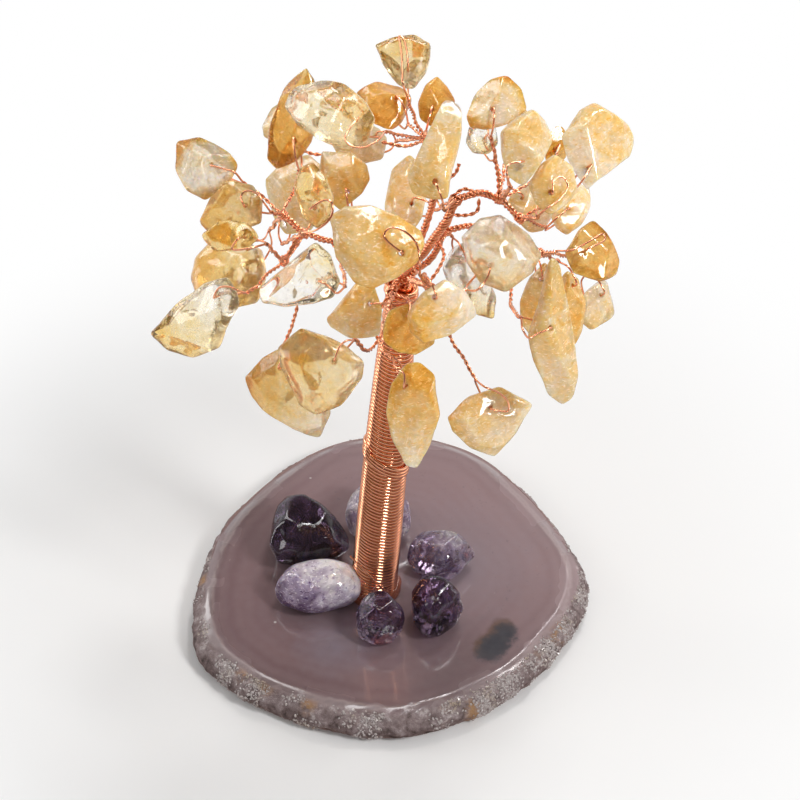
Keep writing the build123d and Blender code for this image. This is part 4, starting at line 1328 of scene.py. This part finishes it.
def coil_path():
    """Turns of wire round a short line."""
    low = seen_behind_foot(*COIL_FROM)
    high = seen_behind_foot(*COIL_TO)
    way = (high - low).normalized()
    side = way.orthogonal().normalized()
    up = way.cross(side)
    path = []
    count = COIL_TURNS * COIL_STEPS
    for index in range(count + 1):
        angle = 2 * math.pi * index / COIL_STEPS
        radius = COIL_RADIUS * (1 - 0.35 * index / count)
        path.append(low.lerp(high, index / count) + turned(side, up, angle) * radius)
    return path


def wound(context, start, end, wobble=0.0, lean=WINDING_LEAN, grow=0.0, seed=0.0,
          lean_in=0.01, lean_out=0.01, pitch_share=1.0):
    """One length of wire wound round the trunk from one height on its axis to another."""
    wire = context.scene.gem_tree_sizes.trunk_wire
    pitch = wire * pitch_share
    turns = (end - start) / pitch
    mesh = grown(winding_tree, bpy.data.meshes.new("empty"), start=start, turns=turns, pitch=pitch,
                 steps=WINDING_STEPS, wire_radius=wire * 0.54, foot_radius=CORE_FOOT_RADIUS + grow,
                 top_radius=CORE_TOP_RADIUS + grow, trunk_length=TRUNK_LENGTH, taper=CORE_TAPER_POWER,
                 lean=lean, lean_in=lean_in, lean_out=lean_out, wobble=wobble, seed=seed,
                 metal=finish(bright_copper))
    mesh.transform(TRUNK_FRAME)
    return mesh


class GEMTREE_OT_trunk(bpy.types.Operator):
    """Make the windings of the trunk and the loose ends at its foot"""

    bl_idname = "gemtree.trunk"
    bl_label = "Trunk"

    def execute(self, context):
        sizes = context.scene.gem_tree_sizes
        core = frame["nodes"]["trunk_core"].data.materials
        core.clear()
        core.append(finish(bright_copper))
        ends = [smooth_path([in_front(pixel, reach) for pixel, reach in end]) for end in FOOT_ENDS]
        loose = laid_wire(ends, sizes.thin_wire / 2, LOOSE_STEP)
        lower = wound(context, *LOWER_WINDING, wobble=0.015 * MM, lean_in=6.0, pitch_share=0.96)
        piece("lower_winding_wire", joined([lower, loose]), TREE, ("lower_winding",))
        crossing = wound(context, *CROSSING, wobble=0.3 * MM, seed=5.0, lean=WINDING_LEAN * 2.2,
                         grow=0.3 * MM)
        upper = wound(context, *UPPER_WINDING, wobble=0.03 * MM, seed=7.0, lean_out=12.0,
                      pitch_share=1.03)
        piece("upper_winding_wire", joined([upper, crossing]), TREE, ("upper_winding",))
        wraps = [
            wound(context, *TOP_WRAPS, wobble=0.25 * MM, seed=3.0, lean=-0.35, lean_in=3.0),
            wound(context, *TOP_RING, wobble=0.3 * MM, seed=11.0, lean=0.2, grow=0.35 * MM),
            laid_wire([coil_path()], sizes.trunk_wire * 0.4, LOOSE_STEP, sides=10),
        ]
        piece("top_binding_wire", joined(wraps), TREE, ("top_binding",))
        return {"FINISHED"}


def in_front(pixel, reach_mm):
    """The point that a pixel shows at a distance in front of the trunk's foot."""
    return seen_behind_foot(pixel, -reach_mm * MM)


# Limbs and loops

LIMB_RUN = 1.6 * MM
LIMB_SINK = 2.5 * MM
SIDE_LIMB_REACH = 1.38 * MM
LEG_RISE = 0.5 * MM
SHOULDER_SHARE = 0.74
PATH_STEP = 0.2 * MM


def smooth_path(points, step=PATH_STEP):
    """A smooth line through points, as a list of close points."""
    points = [Vector(point) for point in points]
    ends = [points[0] * 2 - points[1]] + points + [points[-1] * 2 - points[-2]]
    path = []
    for before, first, second, after in zip(ends, ends[1:], ends[2:], ends[3:]):
        count = max(2, int((second - first).length / step))
        for index in range(count):
            share = index / count
            path.append(curve_point(before, first, second, after, share))
    path.append(points[-1])
    return path


def curve_point(before, first, second, after, share):
    """A point between the middle two of four points, on a centripetal curve through them."""
    knots = [0.0]
    for start, end in ((before, first), (first, second), (second, after)):
        knots.append(knots[-1] + max((end - start).length, 1e-7) ** 0.5)
    place = knots[1] + (knots[2] - knots[1]) * share

    def between(start, end, low, high):
        return start * ((high - place) / (high - low)) + end * ((place - low) / (high - low))

    one = between(before, first, knots[0], knots[1])
    two = between(first, second, knots[1], knots[2])
    three = between(second, after, knots[2], knots[3])
    return between(between(one, two, knots[0], knots[2]), between(two, three, knots[1], knots[3]),
                   knots[1], knots[2])


def wander(path, height, seed):
    """A path bent a little by hand, with its ends in place."""
    count = len(path)
    sways = smooth_noise([point / (3.5 * MM) + Vector((seed, seed * 2, -seed)) for point in path])
    bent = []
    for index, (point, sway) in enumerate(zip(path, sways)):
        hold = min(1.0, min(index, count - 1 - index) * PATH_STEP / (2 * MM))
        bent.append(point + sway * height * hold)
    return bent


def knot_place(name):
    """Where twisted wires part."""
    return route_points((KNOTS[name],))[0]


def route_points(route):
    """The places of a wire's pixels, each with its share of the crown's depth behind the foot."""
    return [seen_behind_foot(pixel, share * CROWN_DEPTH) for pixel, share in route]


def chip_thickness(node):
    """How thick a chip is along its bore."""
    middle, axis = HINGES[node]
    points = mesh_points(frame["nodes"][node].data) @ np.array(axis)
    return points.max() - points.min()


def loop_path(node, look):
    """The thin wire that goes from a twist over a chip's face, through its bore and back behind it."""
    hole, axis = HINGES[node]
    twist = seen_on(look["twist_pixel"], hole, axis)
    half = chip_thickness(node) / 2
    rise = axis * (half + LEG_RISE)
    way = (twist - hole).normalized()
    shoulder = hole + (twist - hole) * SHOULDER_SHARE
    near = way * (0.35 * MM)
    front = [seen_on(pixel, hole + rise, axis) for pixel in look["leg"]] or [shoulder + rise * 0.8]
    straight = axis * (half * 0.6)
    back = [hole - rise + near, shoulder - rise * 0.8]
    beside = axis * (0.12 * MM)
    inside = [hole + rise + near, hole + straight, hole - straight]
    return [twist + beside, *front, *inside, *back, twist - beside]


def twig_path(node, look):
    """The twisted pair that goes from a chip's loop to its knot, and on into it."""
    hole, axis = HINGES[node]
    twist = seen_on(look["twist_pixel"], hole, axis)
    return [twist, *route_points(look["route"]), knot_place(look["knot"])]


def limb_path(limb, branch):
    """The middle line of one run of a limb."""
    angle, wires, branches = LIMBS[limb]
    start_name, route, end_name = branch
    points = route_points(route)
    if start_name != "trunk":
        return [knot_place(start_name), *points, knot_place(end_name)]
    start = TRUNK_TOP
    if angle is not None:
        turn = math.radians(angle)
        start = TRUNK_TOP + turned(TRUNK_X, TRUNK_Y, turn) * SIDE_LIMB_REACH
    sunk = TRUNK_TOP - TRUNK_AXIS * LIMB_SINK + (start - TRUNK_TOP) * 0.5
    return [sunk, start, start + TRUNK_AXIS * LIMB_RUN, *points, knot_place(end_name)]


STRAND_SWAY = 0.12 * MM
WRAP_TURNS = 3
WRAP_STEPS = 12
WRAP_LENGTH = 1.1 * MM


def rope_paths(path, count, reach, lay):
    """The middle lines of the wires that are laid round a limb's line."""
    pairs = zip(path[:1] + path[:-1], path[1:] + path[-1:])
    ways = [(after - before).normalized() for before, after in pairs]
    side = ways[0].orthogonal().normalized()
    ropes = [[] for strand in range(count)]
    along = 0.0
    for index, (point, way) in enumerate(zip(path, ways)):
        side = (side - way * side.dot(way)).normalized()
        up = way.cross(side)
        along += (point - path[max(0, index - 1)]).length
        for strand, rope in enumerate(ropes):
            angle = 2 * math.pi * (strand / count + along / lay)
            rope.append(point + turned(side, up, angle) * reach)
    return ropes


def knot_wrap(path, radius):
    """A few tight turns of wire round the end of a path."""
    end = path[-1]
    way = (path[-1] - path[-4]).normalized()
    side = way.orthogonal().normalized()
    up = way.cross(side)
    turns = []
    count = WRAP_TURNS * WRAP_STEPS
    for index in range(count + 1):
        angle = 2 * math.pi * index / WRAP_STEPS
        turns.append(end + way * (index / count - 0.7) * WRAP_LENGTH + turned(side, up, angle) * radius)
    return turns


class GEMTREE_OT_limbs(bpy.types.Operator):
    """Make the limbs, twigs and loops of twisted wire"""

    bl_idname = "gemtree.limbs"
    bl_label = "Limbs"

    def execute(self, context):
        for seed, limb in enumerate(LIMBS):
            mesh = self.limb_mesh(context, limb, seed)
            piece(limb + "_wires", mesh, TREE, (limb,))
        return {"FINISHED"}

    def limb_mesh(self, context, limb, seed):
        """All the wire of one limb as one mesh."""
        sizes = context.scene.gem_tree_sizes
        angle, wires, branches = LIMBS[limb]
        thin = sizes.thin_wire / 2
        thick = sizes.limb_strand / 2
        ropes, twigs, loops, wraps = [], [], [], []
        for index, branch in enumerate(branches):
            path = wander(smooth_path(limb_path(limb, branch)), 0.25 * MM, seed + index)
            count = max(3, wires - 2 * index)
            reach = thick / math.sin(math.pi / count) * math.hypot(1, 2 * math.pi / sizes.limb_lay)
            wraps.append(knot_wrap(path, reach + thick + thin))
            for strand, rope in enumerate(rope_paths(path, count, reach, sizes.limb_lay * reach)):
                ropes.append(wander(rope, STRAND_SWAY, strand * 2.3))
        ends = [branch[2] for branch in branches]
        for index, (node, look) in enumerate(CHIPS.items()):
            if look["knot"] not in ends:
                continue
            twigs.append(wander(smooth_path(twig_path(node, look)), 0.45 * MM, index * 1.3))
            loops.append(smooth_path(loop_path(node, look), 0.12 * MM))
        for owner, points in STRAYS:
            if owner == limb:
                twigs.append(smooth_path(route_points(points)))
        twisted = laid_wire(twigs, thin, 0.16 * MM, 2, thin * 0.96, sizes.twig_lay)
        return joined([twisted, laid_wire(loops + wraps, thin), laid_wire(ropes, thick)])


# The stage

FLOOR_REACH = 3.0
FLOOR_DROP = 0.15 * MM
FLOOR_FADE = (0.055, 0.13)
MIRROR_FADE = (0.06, 0.17)
MIRRORED_FLOOR = (0.34, 0.21, 0.17, 1.0)
LAMPS = (
    ("right_key", (0.36, -0.27, 0.45), (0.10, 0.15), 1.5),
    ("left_edge", (-0.52, 0.10, 0.18), (0.16, 0.30), 0.6),
    ("top", (0.12, 0.20, 0.54), (0.12, 0.12), 0.8),
)
# Windows that only reflections show: where they lie, half their width and height at 1 m, and their glow
WINDOWS = (
    ((-0.485, 0.467, 0.742), 0.12, 0.50, 5.0),
    ((0.918, 0.39, 0.10), 0.10, 0.30, 1.5),
    ((0.20, 0.30, 0.93), 0.07, 0.70, 9.0),
)
LAMP_AIM = Vector((0, 0, 0.06))
AMBIENT = 0.45


def floor_white(recipe):
    """A pale floor that keeps the shadow near the tree and turns white further off.

    Bright metal mirrors a dim warm tone near the tree, as the photograph's copper does."""
    apart = recipe.measure("LENGTH", recipe.place())
    through = recipe.ray("Transmission")
    seen = recipe.ray("Camera") * apart.rising(*FLOOR_FADE)
    seen = seen.math("MAXIMUM", seen, through)
    matt = recipe.node("ShaderNodeBsdfDiffuse", None, {
        "Color": tuple(bpy.context.scene.gem_tree_colours.floor)})
    white, dim = (recipe.node("ShaderNodeEmission", None, {"Color": colour, "Strength": 1.0})
                  for colour in ((1.0, 1.0, 1.0, 1.0), MIRRORED_FLOOR))
    mirrored = recipe.ray("Glossy") * (1 - through)
    far = apart.rising(*MIRROR_FADE)
    return recipe.mixed(mirrored, recipe.mixed(seen, matt, white), recipe.mixed(far, dim, white))


def window_share(recipe, way, aim, across, tall):
    """1 where a direction looks into a tall window that lies towards an aim, 0 elsewhere."""
    forward = Vector(aim).normalized()
    right = forward.cross(Vector((0, 0, 1))).normalized()
    rows = (forward, right / across, right.cross(forward) / tall)
    ahead, beside, above = (recipe.measure("DOT_PRODUCT", way, row) for row in rows)
    in_width = beside.math("ABSOLUTE", beside).rising(1.1, 0.9)
    in_height = above.math("ABSOLUTE", above).rising(1.05, 0.95)
    return in_width * in_height * ahead.rising(0.0, 0.1)


def studio_world():
    """White where it is seen, soft light elsewhere, with a dark front and ceiling in reflections."""
    world = bpy.data.worlds.new("studio")
    world.use_nodes = True
    world.node_tree.nodes.clear()
    recipe = Recipe(world.node_tree)
    camera = recipe.ray("Camera")
    through = recipe.ray("Transmission")
    glossy = recipe.ray("Glossy") * (1 - through)
    way = recipe.node("ShaderNodeTexCoord", output="Generated")
    behind = recipe.measure("DOT_PRODUCT", way, (0, 1, 0)).rising(-0.3, 0.9)
    above = recipe.measure("DOT_PRODUCT", way, (0, 0, 1)).rising(0.1, 0.8)
    room = 0.14 + behind * (1 - above) * 0.8
    open_air = behind * (1 - above)
    for aim, across, tall, glow in WINDOWS:
        window = window_share(recipe, way, aim, across, tall)
        room = room + window * glow
        open_air = open_air.math("MAXIMUM", open_air, window)
    lit = through * (0.45 + behind * 0.5) + (1 - through) * AMBIENT
    seen = camera + (1 - camera) * (glossy * room + (1 - glossy) * lit)
    hue = recipe.blend(through * (1 - camera), (1.0, 1.0, 1.0, 1.0), (1.0, 0.95, 0.87, 1.0))
    hue = recipe.blend(glossy * (1 - camera) * (1 - open_air), hue, (1.0, 0.68, 0.54, 1.0))
    light = recipe.node("ShaderNodeBackground", None, {"Color": hue, "Strength": seen})
    recipe.feed(recipe.tree.nodes.new("ShaderNodeOutputWorld").inputs["Surface"], light)
    return world


class GEMTREE_OT_stage(bpy.types.Operator):
    """Make the camera, the floor and the studio light"""

    bl_idname = "gemtree.stage"
    bl_label = "Stage"

    def execute(self, context):
        scene = context.scene
        camera = bpy.data.cameras.new("camera")
        camera.sensor_width = SENSOR_WIDTH_MM
        camera.lens = VIEW_FOCAL_PIXELS / PICTURE_PIXELS * SENSOR_WIDTH_MM
        camera.clip_start = 10 * MM
        stand = bpy.data.objects.new("camera", camera)
        stand.location = EYE
        stand.rotation_euler = (math.pi / 2 - VIEW_ELEVATION, 0, 0)
        scene.collection.objects.link(stand)
        scene.camera = stand
        corners = [(x * FLOOR_REACH, y * FLOOR_REACH, -FLOOR_DROP)
                   for x, y in ((-1, -1), (1, -1), (1, 1), (-1, 1))]
        mesh = bpy.data.meshes.new("floor")
        mesh.from_pydata(corners, [], [(0, 1, 2, 3)])
        mesh.materials.append(finish(floor_white))
        floor = bpy.data.objects.new("floor", mesh)
        scene.collection.objects.link(floor)
        for name, place, size, power in LAMPS:
            lamp = bpy.data.lights.new(name, "AREA")
            lamp.shape = "RECTANGLE"
            lamp.size, lamp.size_y = size
            lamp.energy = power
            holder = bpy.data.objects.new(name, lamp)
            holder.location = place
            holder.rotation_euler = (LAMP_AIM - Vector(place)).to_track_quat("-Z", "Y").to_euler()
            holder.visible_camera = False
            scene.collection.objects.link(holder)
        scene.world = studio_world()
        scene.view_settings.view_transform = "Standard"
        return {"FINISHED"}


class GEMTREE_PT_panel(bpy.types.Panel):
    """The tree's pieces, sizes and colours"""

    bl_idname = "GEMTREE_PT_panel"
    bl_label = "Gemstone Tree"
    bl_space_type = "VIEW_3D"
    bl_region_type = "UI"
    bl_category = "Gemstone Tree"

    def draw(self, context):
        layout = self.layout
        for group in (context.scene.gem_tree_sizes, context.scene.gem_tree_colours):
            for name in group.__annotations__:
                layout.prop(group, name)
        for operator in OPERATORS:
            layout.operator(operator.bl_idname)


OPERATORS = (GEMTREE_OT_stage, GEMTREE_OT_slice, GEMTREE_OT_amethysts, GEMTREE_OT_glue, GEMTREE_OT_trunk,
             GEMTREE_OT_limbs, GEMTREE_OT_chips)
CLASSES = (GemTreeSizes, GemTreeColours, *OPERATORS, GEMTREE_PT_panel)


def register():
    """Adds the add-on's classes and its settings."""
    for made in CLASSES:
        bpy.utils.register_class(made)
    bpy.types.Scene.gem_tree_sizes = PointerProperty(type=GemTreeSizes)
    bpy.types.Scene.gem_tree_colours = PointerProperty(type=GemTreeColours)


def unregister():
    """Takes the add-on's classes and its settings away."""
    del bpy.types.Scene.gem_tree_sizes
    del bpy.types.Scene.gem_tree_colours
    for made in reversed(CLASSES):
        bpy.utils.unregister_class(made)


def main():
    """Makes the whole tree."""
    register()
    for operator in OPERATORS:
        group, name = operator.bl_idname.split(".")
        getattr(getattr(bpy.ops, group), name)()


if __name__ == "__main__":
    main()
